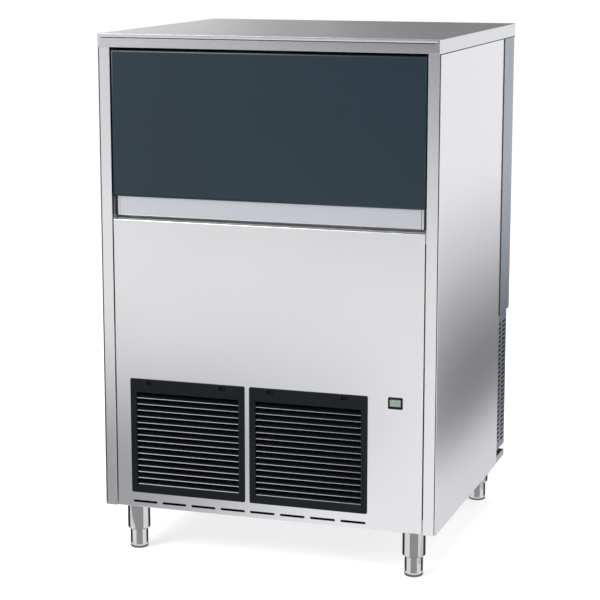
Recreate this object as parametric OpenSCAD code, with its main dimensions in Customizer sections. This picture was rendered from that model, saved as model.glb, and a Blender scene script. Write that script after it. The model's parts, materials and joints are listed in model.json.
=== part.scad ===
// Self-contained flake ice machine: an upright stainless cabinet with an
// insulated ice bin behind an up-and-over door, a vertical auger evaporator
// in the rear bay and an air-cooled condensing unit behind louvred grilles.
// Millimetres, +Z up, front towards -Y, origin on the floor under the centre.

/* [Cabinet] */
// Overall width, over the top panel
cab_w = 738; // [710:1:790]
// Overall depth, over the top panel
cab_d = 690; // [660:1:760]
// Height of the cabinet above its legs
cab_h = 1015; // [985:1:1100]
// Height of the legs
leg_h = 105; // [90:1:140]
// Thickness of the stainless sheet
sheet = 1.2; // [0.8:0.1:1.5]
// Height of the lip round the top panel
top_lip = 28; // [22:1:36]
// Radius of the top panel's upright corners
top_corner = 6; // [3:0.5:12]
// Visible width of each front post
post_w = 23; // [18:1:30]
// Depth of the front posts
post_depth = 12; // [10:1:16]
// How far posts, door and front panel lie behind the top panel's lip
lip_step = 3; // [2.5:0.1:4]
// Shadow gap between a post and the side panel
corner_gap = 1.8; // [1:0.1:3]
// Seam between the front panel or the door and the posts
seam = 2.5; // [1.5:0.1:4]
// Assembly clearance between nested sheets
fit = 0.3; // [0.2:0.05:0.5]

/* [Rear bay] */
// Depth of the bay that holds the evaporator
rear_bay = 185; // [180:1:210]
// Depth of the strip of rear cover beside the side panel
rear_strip = 110; // [100:1:116]
// Width of the seam between the side panel and the rear cover
rear_seam = 2; // [1:0.5:3]
// Height of the lower vented rear panel
rear_vent_h = 322; // [300:1:350]
// How far the lower rear panel lies in front of the rear cover
rear_step = 24; // [22:1:30]
// Height from one row of vent slots to the next
vent_pitch = 10.4; // [9:0.1:14]
// Height of a vent slot
vent_slot = 5; // [3:0.5:6]

/* [Door] */
// Height of the door, with its handle strip
door_h = 347.5; // [320:0.5:370]
// Thickness of the door
door_t = 34; // [30:1:40]
// Wall of the door's moulded shell
door_wall = 3; // [2:0.1:4]
// Radius of the door's front edges
door_round = 5; // [3:0.5:8]
// Gap between the door and the lip above it
door_top_gap = 5; // [4:0.5:8]
// Height of the handle strip along the door's lower edge
strip_h = 42; // [34:1:50]
// How far the strip is set back from the door's face
strip_recess = 12; // [8:0.5:14]
// How far the strip stops short of the door's ends
strip_inset = 6; // [4:0.5:10]
// Thickness of the strip
strip_t = 4; // [3:0.5:5]
// Finger gap under the strip
finger_gap = 7; // [6:0.5:12]
// Diameter of the pivot pins
pin_d = 6; // [5:0.5:7]
// Distance of the pins behind the door's face
pin_back = 26; // [24.5:0.5:26.5]
// Distance of the pins below the door's top edge
pin_drop = 25; // [23:0.5:28]
// Length of a sliding shoe
shoe_l = 24; // [20:1:24]
// Travel of the shoes
door_travel = 270; // [250:1:280]

/* [Bin] */
// Height of the machine compartment under the bin
machine_h = 403; // [390:1:420]
// Wall of the moulded bin liner
liner_t = 3; // [2:0.5:4]
// Insulation under the bin
floor_foam = 34; // [28:1:40]
// Insulation behind the bin
back_foam = 22; // [18:1:26]
// Insulation board under the top panel
lid_foam = 16; // [13:0.5:17]
// Height of the sill upstand above the finger gap
sill_up = 22; // [18:1:28]
// Bore of the drain in the bin floor
bin_drain_d = 24; // [18:1:30]

/* [Grilles] */
// Space between the right grille and the switch
switch_gap = 43.2; // [30:0.1:70]
// Height of a grille
grille_h = 252; // [230:1:270]
// Space between the two grilles
grille_gap = 10; // [6:1:20]
// Distance of the left grille from the front panel's edge
grille_side = 33; // [24:1:40]
// Height of the grilles above the cabinet's underside
grille_up = 34; // [30:1:40]
// Number of slats in a grille
slat_count = 15; // [10:1:18]
// Thickness of a slat
slat_t = 2.4; // [1.6:0.1:3]
// Width of the plain band at a grille's sides
grille_band = 14; // [10:1:20]
// Height of the plain band at a grille's foot
grille_foot = 18; // [14:1:24]
// Height of the plain band at a grille's head
grille_head = 30; // [24:1:36]
// Number of slots along the foot of the front panel
slot_count = 8; // [6:1:8]
// Length of a slot
slot_l = 55; // [40:1:60]
// Height of a slot
slot_h = 5; // [3:0.5:7]

/* [Switch] */
// Width of the switch bezel
switch_w = 31; // [28:0.5:36]
// Height of the switch bezel
switch_h = 24.5; // [22:0.5:30]
// Distance of the switch from the cabinet's right side
switch_side = 88.3; // [80:0.5:100]
// Height of the switch above the cabinet's underside
switch_up = 275; // [250:1:300]
// Swing of the rocker
rocker_swing = 16; // [12:1:20]

/* [Evaporator] */
// Outer diameter of the freezing cylinder
cylinder_d = 110; // [104:1:114]
// Wall of the freezing cylinder
cylinder_t = 5; // [4:0.5:7]
// Diameter of the refrigerant coil's tube
coil_d = 10; // [8:0.5:10]
// Turns of the refrigerant coil
coil_turns = 16; // [10:1:18]
// Outer diameter of the insulating jacket
jacket_d = 152; // [150:1:156]
// Diameter of the auger's core
auger_core = 56; // [44:1:64]
// Running gap between the auger and the cylinder
auger_gap = 0.5; // [0.3:0.1:1]
// Axial pitch of the auger's flight
auger_pitch = 44; // [36:1:60]
// Diameter of the auger's shaft ends
shaft_d = 24; // [20:1:28]
// Height of the ice outlet below the cabinet's top
outlet_drop = 160; // [150:1:200]

/* [Condensing unit] */
// Space between the condenser and the control box, for the pipe stubs
stub_space = 64.3; // [60:0.1:110]
// Height of the condenser block
condenser_h = 250; // [220:1:270]
// Depth of the condenser block
condenser_d = 60; // [48:1:70]
// Diameter of the fan
fan_d = 230; // [200:1:236]
// Number of fan blades
blade_count = 5; // [4:1:7]
// Diameter of the compressor can
compressor_d = 168; // [150:1:180]
// Height of the compressor can
compressor_h = 205; // [180:1:230]

/* [Legs] */
// Diameter of a leg sleeve
sleeve_d = 50; // [44:1:56]
// Length of a leg sleeve
sleeve_l = 60; // [50:1:70]
// Diameter of an adjustable foot
foot_d = 40; // [34:1:42]
// Distance of the legs from the cabinet's sides
leg_side = 58; // [50:1:70]
// Distance of the front legs from the cabinet's front
leg_front = 50; // [45:1:70]
// Distance of the rear legs from the cabinet's rear
leg_rear = 58; // [52:1:80]

/* [Hidden] */
$fn = 64;
eps = 0.5;
// Running clearance of a pin or shaft in its bore
run = 0.05;

// Cabinet planes: z from the floor, y from the front plane with front_y()
function front_y(depth) = depth - cab_d / 2;
z_base = leg_h;
z_top = leg_h + cab_h;
z_skin = z_top - sheet;
z_lip = z_top - top_lip;
side_out = cab_w / 2 - sheet - fit;
side_in = side_out - sheet;
post_out = side_in - corner_gap;
post_in = post_out - post_w;
face = lip_step;
post_back = face + post_depth;
side_depth = cab_d - rear_strip;
flange = 15;
tray_t = 2;
tray_up = 30;
z_floor = z_base + tray_t;
z_tray = z_base + tray_up;
tray_front = post_back;
rear_face = cab_d - sheet - fit;
vent_face = cab_d - rear_step - fit;
rear_frame_d = side_depth + rear_seam;
rear_open = side_in - 2 * flange;
z_vent = z_tray + rear_vent_h;
z_cover = z_vent + rear_seam;
groove_h = 1.2;
groove_drop = 7.3;
groove_end = 10;

// Door planes
door_hw = post_in - seam + fit;
z_door = z_lip - door_top_gap;
z_door_foot = z_door - door_h;
z_strip = z_door_foot + strip_h;
door_inner = face + door_t;
shell_inner = door_inner - door_wall;
strip_face = face + strip_recess;
strip_back = strip_face + strip_t;
pin_y = face + pin_back;
z_pin = z_door - pin_drop;
boss_d = pin_d + 10;
pin_hold = 16;

// Front panel planes
panel_hw = post_in - seam;
panel_foot = z_base + 1;
panel_top = z_door_foot - finger_gap;
panel_return = post_depth - sheet;
grille_z = z_base + grille_up;
switch_x = cab_w / 2 - switch_side;
grille_w = (switch_x - switch_w / 2 - switch_gap + panel_hw - grille_side - grille_gap) / 2;
grille_x = [-panel_hw + grille_side, -panel_hw + grille_side + grille_w + grille_gap];
grille_proud = 2;
grille_edge = 4;
grille_back = face + 17;
slat_open_w = grille_w - 2 * grille_band;
slat_open_h = grille_h - grille_foot - grille_head;
slat_pitch = slat_open_h / slat_count;
slat_depth = grille_back - face + grille_proud - 4;
slat_rise = slat_pitch - slat_t - 1.5;
slot_inset = 3;
slot_pitch = (2 * (grille_w - slot_inset) + grille_gap - slot_l) / (slot_count - 1);
slot_z = z_base + 14;
switch_z = z_base + switch_up;
switch_edge = 1.75;
filter_t = 4;

// Bin planes
guide_w = 13.5;
guide_t = 1.5;
guide_h = 26;
bin_hw = post_in + 1;
guide_out = bin_hw + guide_w;
z_guide = z_pin - guide_h / 2;
z_bin_top = z_skin - sheet - lid_foam - 0.6;
z_shelf = z_base + machine_h;
z_foam = z_shelf;
z_bin_floor = z_foam + floor_foam + liner_t;
z_rim = z_guide - liner_t;
foam_hw = side_in - fit;
foam_front = post_back + sheet + fit;
bin_front = door_inner + 2.5;
gasket_t = bin_front - door_inner - fit;
z_sill = panel_top - liner_t;
z_upstand = z_door_foot + sill_up - finger_gap;
bin_plate = cab_d - rear_bay;
bin_back = bin_plate - back_foam;
bay_front = bin_plate + sheet;
drain_y = front_y(bin_front + 60);

// Evaporator planes
axis_y = front_y(bay_front + 4 + jacket_d / 2);
motor_h = 117;
gearbox_h = 75;
boss_h = 15;
housing_h = 50;
z_cylinder = z_cover + 12;
z_housing = z_cylinder - housing_h;
z_gearbox = z_housing - boss_h - gearbox_h;
z_motor = z_gearbox - motor_h;
outlet_h = 60;
z_outlet = z_top - outlet_drop - outlet_h / 2;
end_flange = 6;
z_head = z_outlet - 15;
cylinder_l = z_head - z_cylinder;
bore_r = cylinder_d / 2 - cylinder_t;
coil_steps = 16;
coil_r = (cylinder_d / 2 + coil_d / 2 + fit) / cos(180 / coil_steps);
jacket_bore = coil_r + coil_d / 2 + fit;
flange_r = jacket_d / 2 - 2;
coil_start = z_cylinder + 24;
coil_end = z_head - 24;
stub_r = jacket_d / 2 + 6;
head_h = outlet_h + 40;
head_r = cylinder_d / 2 + 8;
outlet_hw = 42;
spout_t = 3;
spout_hw = outlet_hw + spout_t;
spout_back = axis_y - head_r - 4;
spout_flange = 12;
spout_reach = 45;

// Water system
reservoir_w = 110;
reservoir_d = 104;
reservoir_h = 100;
reservoir_side = 245;
reservoir_x = -cylinder_d / 2 - reservoir_side;
z_reservoir = z_head - 120;
reservoir_t = 3;
reservoir_y = front_y(bay_front);
valve_x = reservoir_x + reservoir_w / 2;
valve_y = reservoir_y + reservoir_t;
float_pin_y = valve_y + 22;
z_float_pin = z_reservoir + reservoir_h - 26;
float_reach = 48;
hose_d = 16;
hose_x = reservoir_x + reservoir_w / 2;
hose_y = reservoir_y + reservoir_d - 26;
nipple_z = z_housing + 32;
nipple_l = 76;
inlet_x = reservoir_x + reservoir_w / 2;
inlet_z = z_tray + 60;
inlet_d = 26.4;
collar_t = 3;
collar_out = 3;
inlet_collar = inlet_d + 2 * collar_t;
drain_x = -170;
drain_z = z_tray + 26;
drain_d = 24;
drain_collar = drain_d + 2 * collar_t;
gland_side = 116.3;
gland_x = side_in - gland_side;
gland_z = z_tray + 40;
gland_bore = 11;

// Condensing unit
box_w = 84;
box_side = 18;
box_x = side_in - box_side - box_w;
condenser_inset = 16;
condenser_x = grille_x[0] + condenser_inset;
condenser_w = box_x - stub_space - condenser_x;
condenser_front = grille_back + filter_t + 16;
condenser_back = condenser_front + condenser_d;
z_condenser = z_floor + 24;
condenser_top = z_condenser + condenser_h;
fin_pitch = 9;
fin_slot = 5;
tube_d = 10;
tube_rows = 8;
fan_x = condenser_x + condenser_w / 2;
fan_z = z_condenser + condenser_h / 2;
ring_l = 34;
fan_back = condenser_back + ring_l + sheet;
hub_d = 46;
hub_l = 22;
hub_front = condenser_back + 14;
fan_shaft = 8;
fan_motor_d = 76;
fan_motor_front = fan_back + 12;
drier_gap = 40;
drier_l = 130;
riser_out = 24;
can_clear = 43.2;
can_side = 161.3;
compressor_x = side_in - can_side;
compressor_y = front_y(condenser_back + drier_gap + drier_l + riser_out + can_clear + compressor_d / 2);
can_foot = 75;
foot_hole = 62;
grommet_h = 16;
z_compressor = z_floor + grommet_h;
foot_plate = 3;
box_d = 200;
box_h = 300;
box_y = front_y(grille_back + filter_t + 20);

// Legs
leg_x = cab_w / 2 - leg_side;
leg_y = [front_y(leg_front), front_y(cab_d - leg_rear)];
sleeve_foot = leg_h - sleeve_l;
sleeve_bore = foot_d + 2 * fit;
foot_in = 12;
stud_d = 14;
foot_edge = 6;

// Box from one corner to the opposite one
module box(a, b) {
  translate(a) cube(b - a);
}

// Outline in X and Z, raised to a sheet from depth y towards the rear
module sheet_xz(y, t) {
  translate([0, y + t, 0]) rotate([90, 0, 0]) linear_extrude(t) children();
}

// Outline in Y and Z, raised to a sheet from x towards +X
module sheet_yz(x, t) {
  translate([x, 0, 0]) rotate([90, 0, 90]) linear_extrude(t) children();
}

// Rectangle from one corner to the opposite one
module rect(a, b) {
  translate(a) square(b - a);
}

// Rectangle with round corners, from corner a to corner b
module round_rect(a, b, r) {
  rect([a.x + r, a.y], [b.x - r, b.y]);
  rect([a.x, a.y + r], [b.x, b.y - r]);
  for (x = [a.x + r, b.x - r], y = [a.y + r, b.y - r]) translate([x, y]) circle(r);
}

// Slot with round ends, lying along X, starting at a
module slot(a, l, h) {
  translate([a.x + h / 2, a.y]) {
    translate([0, -h / 2]) square([l - h, h]);
    circle(h / 2);
    translate([l - h, 0]) circle(h / 2);
  }
}

// Copy of the children on the left and on the right
module both_sides() {
  children();
  mirror([1, 0, 0]) children();
}

// Cylinder along X or Y, starting at a
module rod_x(a, d, l) {
  translate(a) rotate([0, 90, 0]) cylinder(h = l, d = d);
}

module rod_y(a, d, l) {
  translate(a) rotate([-90, 0, 0]) cylinder(h = l, d = d);
}

// Round tube swept along a path
function unit(v) = v / norm(v);
function tangent(p, i) = unit(p[min(i + 1, len(p) - 1)] - p[max(i - 1, 0)]);
function carry(p, i, n) = let (t = tangent(p, i)) unit(n - (n * t) * t);
function side_axes(p, n, i = 0) =
  i >= len(p) ? [] : let (m = carry(p, i, n)) concat([m], side_axes(p, m, i + 1));
function start_axis(t) = abs(t.z) < 0.9 ? [0, 0, 1] : [1, 0, 0];

// Points of an arc that rounds the corner b between a and c
function arc_corner(a, b, c, r, steps) =
  let (u = unit(a - b), v = unit(c - b), half = acos(u * v) / 2)
  let (middle = b + unit(u + v) * r / sin(half), turn = 180 - 2 * half)
  let (s = b + u * r / tan(half) - middle, e = b + v * r / tan(half) - middle)
  [for (k = [0:steps]) let (f = k / steps)
    middle + (s * sin(turn * (1 - f)) + e * sin(turn * f)) / sin(turn)];

function bent(p, r, steps = 4) = concat(
  [p[0]],
  [for (i = [1:len(p) - 2]) each arc_corner(p[i - 1], p[i], p[i + 1], r, steps)],
  [p[len(p) - 1]]);

module tube(p, d, sides = 8) {
  axes = side_axes(p, start_axis(tangent(p, 0)));
  rings = [for (i = [0:len(p) - 1]) let (m = axes[i], n = cross(tangent(p, i), m))
    for (j = [0:sides - 1]) let (a = 360 * j / sides) p[i] + d / 2 * (cos(a) * m + sin(a) * n)];
  last = (len(p) - 1) * sides;
  polyhedron(rings, concat(
    [[for (j = [0:sides - 1]) j]],
    [for (i = [0:len(p) - 2]) for (j = [0:sides - 1]) let (k = (j + 1) % sides)
      [i * sides + j, (i + 1) * sides + j, (i + 1) * sides + k, i * sides + k]],
    [[for (j = [0:sides - 1]) last + sides - 1 - j]]));
}

module base_tray() color("silver") difference() {
  union() {
    box([-side_in, front_y(tray_front), z_base], [side_in, front_y(vent_face), z_floor]);
    box([-side_in, front_y(tray_front), z_base], [side_in, front_y(tray_front + sheet), z_tray]);
    box([-side_in, front_y(vent_face - sheet), z_base], [side_in, front_y(vent_face), z_base + tray_up / 2]);
    both_sides() {
      box([side_in - sheet, front_y(tray_front), z_base], [side_in, front_y(rear_frame_d), z_tray]);
      box([side_in - sheet, front_y(side_depth), z_base], [side_in, front_y(vent_face), z_base + tray_up / 2]);
    }
  }
  for (x = [-leg_x, leg_x], y = leg_y) translate([x, y, z_base - 1]) cylinder(h = tray_t + 2, d = stud_d + 2);
}

module post_outline() {
  rect([post_in, front_y(face)], [post_out, front_y(face + sheet)]);
  rect([post_in, front_y(face)], [post_in + sheet, front_y(post_back)]);
  rect([post_out - sheet, front_y(face)], [post_out, front_y(post_back)]);
}

module front_frame() color("silver") {
  both_sides() translate([0, 0, z_base]) linear_extrude(z_lip + flange - z_base) post_outline();
  for (z = [[z_base, z_base + 28], [panel_top - 22, panel_top - 1], [z_lip + 3, z_lip + flange]])
    box([-post_in - sheet, front_y(post_back - sheet), z[0]], [post_in + sheet, front_y(post_back), z[1]]);
}

module side_panel() {
  box([side_in, front_y(face), z_base], [side_out, front_y(side_depth), z_lip - fit]);
  box([side_in, front_y(face + top_corner), z_base], [side_out, front_y(side_depth), z_skin]);
  box([side_in - flange, front_y(post_back), z_tray + 5], [side_in + sheet / 2, front_y(post_back + sheet), z_lip]);
  box([side_in - 2 * flange, front_y(side_depth - sheet), z_tray + 5],
    [side_in + sheet / 2, front_y(side_depth), z_skin - flange]);
  box([side_in - flange, front_y(30), z_skin - sheet], [side_in + sheet / 2, front_y(side_depth - 10), z_skin]);
}

module side_panel_right() color("silver") side_panel();

module side_panel_left() color("silver") mirror([1, 0, 0]) side_panel();

module rear_frame() color("gray") sheet_xz(front_y(side_depth), rear_seam) difference() {
  rect([-side_in + 4, z_tray], [side_in - 4, z_skin - fit]);
  rect([-rear_open, z_tray - 1], [rear_open, z_skin - 26]);
}

module top_panel() color("silver") difference() {
  translate([0, 0, z_lip]) linear_extrude(top_lip)
    round_rect([-cab_w / 2, -cab_d / 2], [cab_w / 2, cab_d / 2], top_corner);
  translate([0, 0, z_lip - 1]) linear_extrude(top_lip - sheet + 1)
    round_rect([-cab_w / 2 + sheet, -cab_d / 2 + sheet], [cab_w / 2 - sheet, cab_d / 2 - sheet],
      top_corner - sheet);
  box([-cab_w / 2 + groove_end, -cab_d / 2 - 1, z_top - groove_drop - groove_h],
    [cab_w / 2 - groove_end, -cab_d / 2 + sheet / 2, z_top - groove_drop]);
}

// Plan outline of the rear cover, with round rear corners
rear_corner = top_corner - sheet - fit;

module rear_plan(inset) {
  round_rect([-side_out + inset, front_y(rear_frame_d + sheet)], [side_out - inset, front_y(rear_face - inset)],
    rear_corner - inset);
  rect([-side_out + inset, front_y(rear_frame_d)], [side_out - inset, front_y(rear_face - 3 * rear_corner)]);
}

module rear_cover() color("lightsteelblue") translate([0, 0, z_cover]) {
  linear_extrude(z_skin - fit - z_cover) {
    difference() {
      rear_plan(0);
      rear_plan(sheet);
    }
    both_sides() rect([rear_open, front_y(rear_frame_d)], [side_in + sheet / 2, front_y(rear_frame_d + sheet)]);
  }
  linear_extrude(sheet) intersection() {
    rear_plan(sheet / 2);
    rect([-cab_w, front_y(vent_face - 1)], [cab_w, front_y(cab_d)]);
  }
}

// Rows of vent slots in the lower rear panel
vent_hw = side_out - 1.5;
vent_rows = floor((rear_vent_h - 28) / vent_pitch);
vent_slot_l = 70;
vent_column = 86;

module vent_back_outline() difference() {
  rect([-vent_hw, z_tray], [vent_hw, z_vent]);
  for (r = [9:vent_rows - 1], c = [-3:3])
    slot([c * vent_column - vent_slot_l / 2, z_tray + 14 + (r + 0.5) * vent_pitch], vent_slot_l, vent_slot);
  translate([inlet_x, inlet_z]) circle(d = inlet_collar + 2 * fit);
  translate([drain_x, drain_z]) circle(d = drain_collar + 2 * fit);
  translate([gland_x, gland_z]) circle(d = gland_bore + 7 + 2 * fit);
}

module vent_side_outline() difference() {
  rect([front_y(rear_frame_d), z_tray], [front_y(vent_face), z_vent]);
  for (r = [0:vent_rows - 1]) {
    slot([front_y(rear_frame_d + 5), z_tray + 14 + (r + 0.5) * vent_pitch], 24, vent_slot);
    slot([front_y(vent_face - 42), z_tray + 14 + (r + 0.5) * vent_pitch], 31, vent_slot);
  }
}

module rear_grille() color("gray") {
  sheet_xz(front_y(vent_face - sheet), sheet) vent_back_outline();
  both_sides() {
    sheet_yz(vent_hw - sheet, sheet) vent_side_outline();
    box([rear_open, front_y(rear_frame_d), z_tray], [vent_hw - sheet / 2, front_y(rear_frame_d + sheet), z_vent]);
  }
  box([-vent_hw, front_y(vent_face - 4), z_vent - sheet], [vent_hw, front_y(vent_face), z_vent]);
}

module front_panel() color("silver") difference() {
  union() {
    sheet_xz(front_y(face), sheet) rect([-panel_hw, panel_foot], [panel_hw, panel_top]);
    both_sides()
      box([panel_hw - sheet, front_y(face), panel_foot], [panel_hw, front_y(face + panel_return), panel_top]);
    for (z = [panel_foot, panel_top - sheet])
      box([-panel_hw, front_y(face), z], [panel_hw, front_y(face + panel_return), z + sheet]);
  }
  sheet_xz(front_y(face - 1), sheet + 2) {
    for (x = grille_x)
      rect([x + grille_edge, grille_z + grille_edge],
        [x + grille_w - grille_edge, grille_z + grille_h - grille_edge]);
    for (k = [0:slot_count - 1]) slot([grille_x[0] + slot_inset + k * slot_pitch, slot_z], slot_l, slot_h);
    rect([switch_x - switch_w / 2 + switch_edge, switch_z - switch_h / 2 + switch_edge],
      [switch_x + switch_w / 2 - switch_edge, switch_z + switch_h / 2 - switch_edge]);
  }
}

// Louvre slat: a blade that rises from its round nose towards the rear
module slat_outline() {
  nose = slat_t / 2;
  translate([nose, nose]) circle(nose);
  polygon([[nose * 0.4, nose * 1.8], [nose * 1.6, nose * 0.2],
    [slat_depth, slat_rise], [slat_depth, slat_rise + slat_t]]);
}

module grille_frame_outline(edge) difference() {
  round_rect([edge, edge], [grille_w - edge, grille_h - edge], 4);
  rect([grille_band, grille_foot], [grille_w - grille_band, grille_h - grille_head]);
}

module grille() {
  inner = grille_edge + fit;
  difference() {
    union() {
      sheet_xz(front_y(face - grille_proud), grille_proud) grille_frame_outline(0);
      sheet_xz(front_y(face - eps), grille_back - face + eps) grille_frame_outline(inner);
    }
    for (x = [46, grille_w - 50]) sheet_xz(front_y(face - grille_proud - 1), 2.2)
      slot([x - 7, grille_h - grille_head / 2], 14, 4);
  }
  for (k = [0:slat_count - 1])
    translate([0, front_y(face - grille_proud + 1), grille_foot + k * slat_pitch + 0.4])
      sheet_yz(grille_band - eps, slat_open_w + 2 * eps) slat_outline();
  for (x = [1, 2] * slat_open_w / 3)
    box([grille_band + x - 1, front_y(grille_back - 4), grille_foot - eps],
      [grille_band + x + 1, front_y(grille_back), grille_h - grille_head + eps]);
}

module grille_left() color("#24282c") translate([grille_x[0], 0, grille_z]) grille();

module grille_right() color("#24282c") translate([grille_x[1], 0, grille_z]) grille();

module air_filters() color("#15171a") for (x = grille_x)
  box([x + 8, front_y(grille_back), grille_z + 8],
    [x + grille_w - 8, front_y(grille_back + filter_t), grille_z + grille_h - 8]);

// Rocker switch: a bezel with a body behind it, and a rocker on trunnions
rocker_w = switch_w - 8;
rocker_r = switch_h / 2 - 3.7;
rocker_y = front_y(face + 4.5);
switch_back = 24;
trunnion_d = 3;

module switch_body() color("#1a1a1a") difference() {
  union() {
    sheet_xz(front_y(face - 1.5), 1.5)
      round_rect([switch_x - switch_w / 2, switch_z - switch_h / 2],
        [switch_x + switch_w / 2, switch_z + switch_h / 2], 2);
    box([switch_x - switch_w / 2 + switch_edge + fit, front_y(face - eps), switch_z - switch_h / 2 + switch_edge + fit],
      [switch_x + switch_w / 2 - switch_edge - fit, front_y(face + switch_back),
        switch_z + switch_h / 2 - switch_edge - fit]);
  }
  box([switch_x - rocker_w / 2 - fit, front_y(face - 3), switch_z - rocker_r - fit],
    [switch_x + rocker_w / 2 + fit, rocker_y + rocker_r + 2, switch_z + rocker_r + fit]);
  rod_x([switch_x - rocker_w / 2 - 2, rocker_y, switch_z], trunnion_d + 2 * run, rocker_w + 4);
}

module switch_rocker() color("#cfe8c8") {
  tilt = rocker_swing / 2;
  rod_x([switch_x - rocker_w / 2 - 1.5, rocker_y, switch_z], trunnion_d, rocker_w + 3);
  translate([switch_x, rocker_y, switch_z]) rotate([tilt, 0, 0]) difference() {
    rod_x([-rocker_w / 2, 0, 0], 2 * rocker_r, rocker_w);
    for (s = [-1, 1]) rotate([s * tilt, 0, 0])
      translate([-rocker_w, -2 * rocker_r - 5.5, s > 0 ? 0 : -2 * rocker_r]) cube([2 * rocker_w, 2 * rocker_r, 2 * rocker_r]);
  }
}

// Door: moulded shell over an insulating core, an inner pan and a handle strip
module door_side_outline(inset, front) {
  rect([front_y(front), z_strip + inset], [front_y(shell_inner), z_door - inset]);
  rect([front_y(strip_back + inset), z_door_foot + inset], [front_y(shell_inner), z_strip + inset + eps]);
}

module door_front_rounding() translate([0, 0, z_door_foot - 1]) linear_extrude(door_h + 2) {
  round_rect([-door_hw, front_y(face)], [door_hw, front_y(door_inner)], door_round);
  rect([-door_hw, front_y(face + door_round)], [door_hw, front_y(door_inner)]);
}

module door_body_outline() {
  rect([front_y(face), z_strip + door_round], [front_y(shell_inner), z_door - door_round]);
  rect([front_y(face + door_round), z_strip], [front_y(shell_inner), z_door]);
  for (z = [z_strip + door_round, z_door - door_round])
    translate([front_y(face + door_round), z]) circle(door_round);
  rect([front_y(strip_back), z_door_foot], [front_y(shell_inner), z_strip + door_round]);
}

module pin_bosses(d, reach) both_sides()
  rod_x([door_hw - reach, front_y(pin_y), z_pin], d, reach - 1);

module door_shell() color("#36454f") difference() {
  union() {
    difference() {
      intersection() {
        sheet_yz(-door_hw, 2 * door_hw) door_body_outline();
        door_front_rounding();
      }
      sheet_yz(-door_hw + door_wall, 2 * (door_hw - door_wall)) door_side_outline(door_wall, face + door_wall);
    }
    intersection() {
      pin_bosses(boss_d, pin_hold);
      box([-door_hw, front_y(face), z_door_foot], [door_hw, front_y(shell_inner), z_door]);
    }
  }
  both_sides() rod_x([door_hw - pin_hold + 2, front_y(pin_y), z_pin], pin_d + 2 * run, pin_hold);
}

module door_core() color("#efe3b8") difference() {
  sheet_yz(-door_hw + door_wall, 2 * (door_hw - door_wall)) door_side_outline(door_wall, face + door_wall);
  pin_bosses(boss_d + 2 * fit, pin_hold + fit);
}

module door_liner() color("white") {
  sheet_xz(front_y(shell_inner), door_wall) round_rect([-door_hw, z_door_foot], [door_hw, z_door], 4);
  sheet_xz(front_y(door_inner - eps), 5 + eps)
    round_rect([-door_hw + 40, z_door_foot + 40], [door_hw - 40, z_door - 55], 20);
}

// Handle strip: a drawn profile with a sloped upper edge and two end caps
strip_hw = door_hw - strip_inset;
strip_slope = 7;

module strip_outline() difference() {
  rect([front_y(strip_face), z_door_foot], [front_y(strip_back), z_strip - fit]);
  polygon([[front_y(strip_face - 1), z_strip + 1], [front_y(strip_face - 1), z_strip - strip_slope],
    [front_y(strip_face), z_strip - strip_slope], [front_y(strip_face + 1.6), z_strip + 1]]);
}

module door_strip() color("#c8ccd2") difference() {
  sheet_yz(-strip_hw, 2 * strip_hw) strip_outline();
  both_sides() box([strip_hw - 5.4, front_y(strip_face - 1), z_door_foot - 1],
    [strip_hw - 4.8, front_y(strip_face + 0.6), z_strip + 1]);
}

module door_pivot_pins() color("gray") both_sides()
  rod_x([door_hw - pin_hold + 2, front_y(pin_y), z_pin], pin_d, guide_out - guide_t - 1 - door_hw + pin_hold - 2);

shoe_in = bin_hw + guide_t + fit;
shoe_out = guide_out - guide_t - fit;
shoe_hh = guide_h / 2 - guide_t - fit;

module door_shoes() color("white") both_sides() difference() {
  sheet_yz(shoe_in, shoe_out - shoe_in) round_rect([front_y(pin_y - shoe_l / 2), z_pin - shoe_hh],
    [front_y(pin_y + shoe_l / 2), z_pin + shoe_hh], 3);
  rod_x([shoe_in - 1, front_y(pin_y), z_pin], pin_d + 2 * run, shoe_out - shoe_in + 2);
}

// C-shaped guide with lips that keep the shoe in
guide_back = pin_y + door_travel + shoe_l / 2 + 10;
guide_lip = 3;

module guide_outline() difference() {
  rect([bin_hw, z_guide], [guide_out, z_guide + guide_h]);
  rect([bin_hw + guide_t, z_guide + guide_t], [guide_out - guide_t, z_guide + guide_h - guide_t]);
  rect([bin_hw - 1, z_guide + guide_t + guide_lip], [bin_hw + guide_t + eps, z_guide + guide_h - guide_t - guide_lip]);
}

module door_guides() color("gainsboro") both_sides()
  sheet_xz(front_y(foam_front), guide_back - foam_front) guide_outline();

module sill_gasket() color("#202225")
  box([-door_hw + 8, front_y(bin_front - gasket_t), z_upstand - 12],
    [door_hw - 8, front_y(bin_front), z_upstand - 2]);

// Openings that pass through the bin's rear wall and floor
module spout_hole() box([-spout_hw - fit, front_y(bin_back - 60), z_outlet - spout_t - fit],
  [spout_hw + fit, front_y(bay_front + 30), z_outlet + outlet_h + spout_t + fit]);

module drain_hole(d) translate([0, drain_y, z_shelf - 30]) cylinder(h = floor_foam + 60, d = d);

module bin_liner() color("whitesmoke") difference() {
  union() {
    box([-bin_hw - liner_t, front_y(bin_front), z_bin_floor - liner_t], [bin_hw + liner_t, front_y(bin_back), z_rim]);
    box([-bin_hw - liner_t, front_y(foam_front), z_sill], [bin_hw + liner_t, front_y(bin_front + eps), z_rim]);
  }
  box([-bin_hw, front_y(bin_front + liner_t), z_bin_floor], [bin_hw, front_y(bin_back - liner_t), z_rim + 1]);
  box([-bin_hw, front_y(foam_front - 1), z_sill + liner_t], [bin_hw, front_y(bin_front), z_rim + 1]);
  box([-bin_hw, front_y(bin_front - 1), z_upstand], [bin_hw, front_y(bin_front + liner_t + 1), z_rim + 1]);
  spout_hole();
  drain_hole(bin_drain_d);
}

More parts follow.
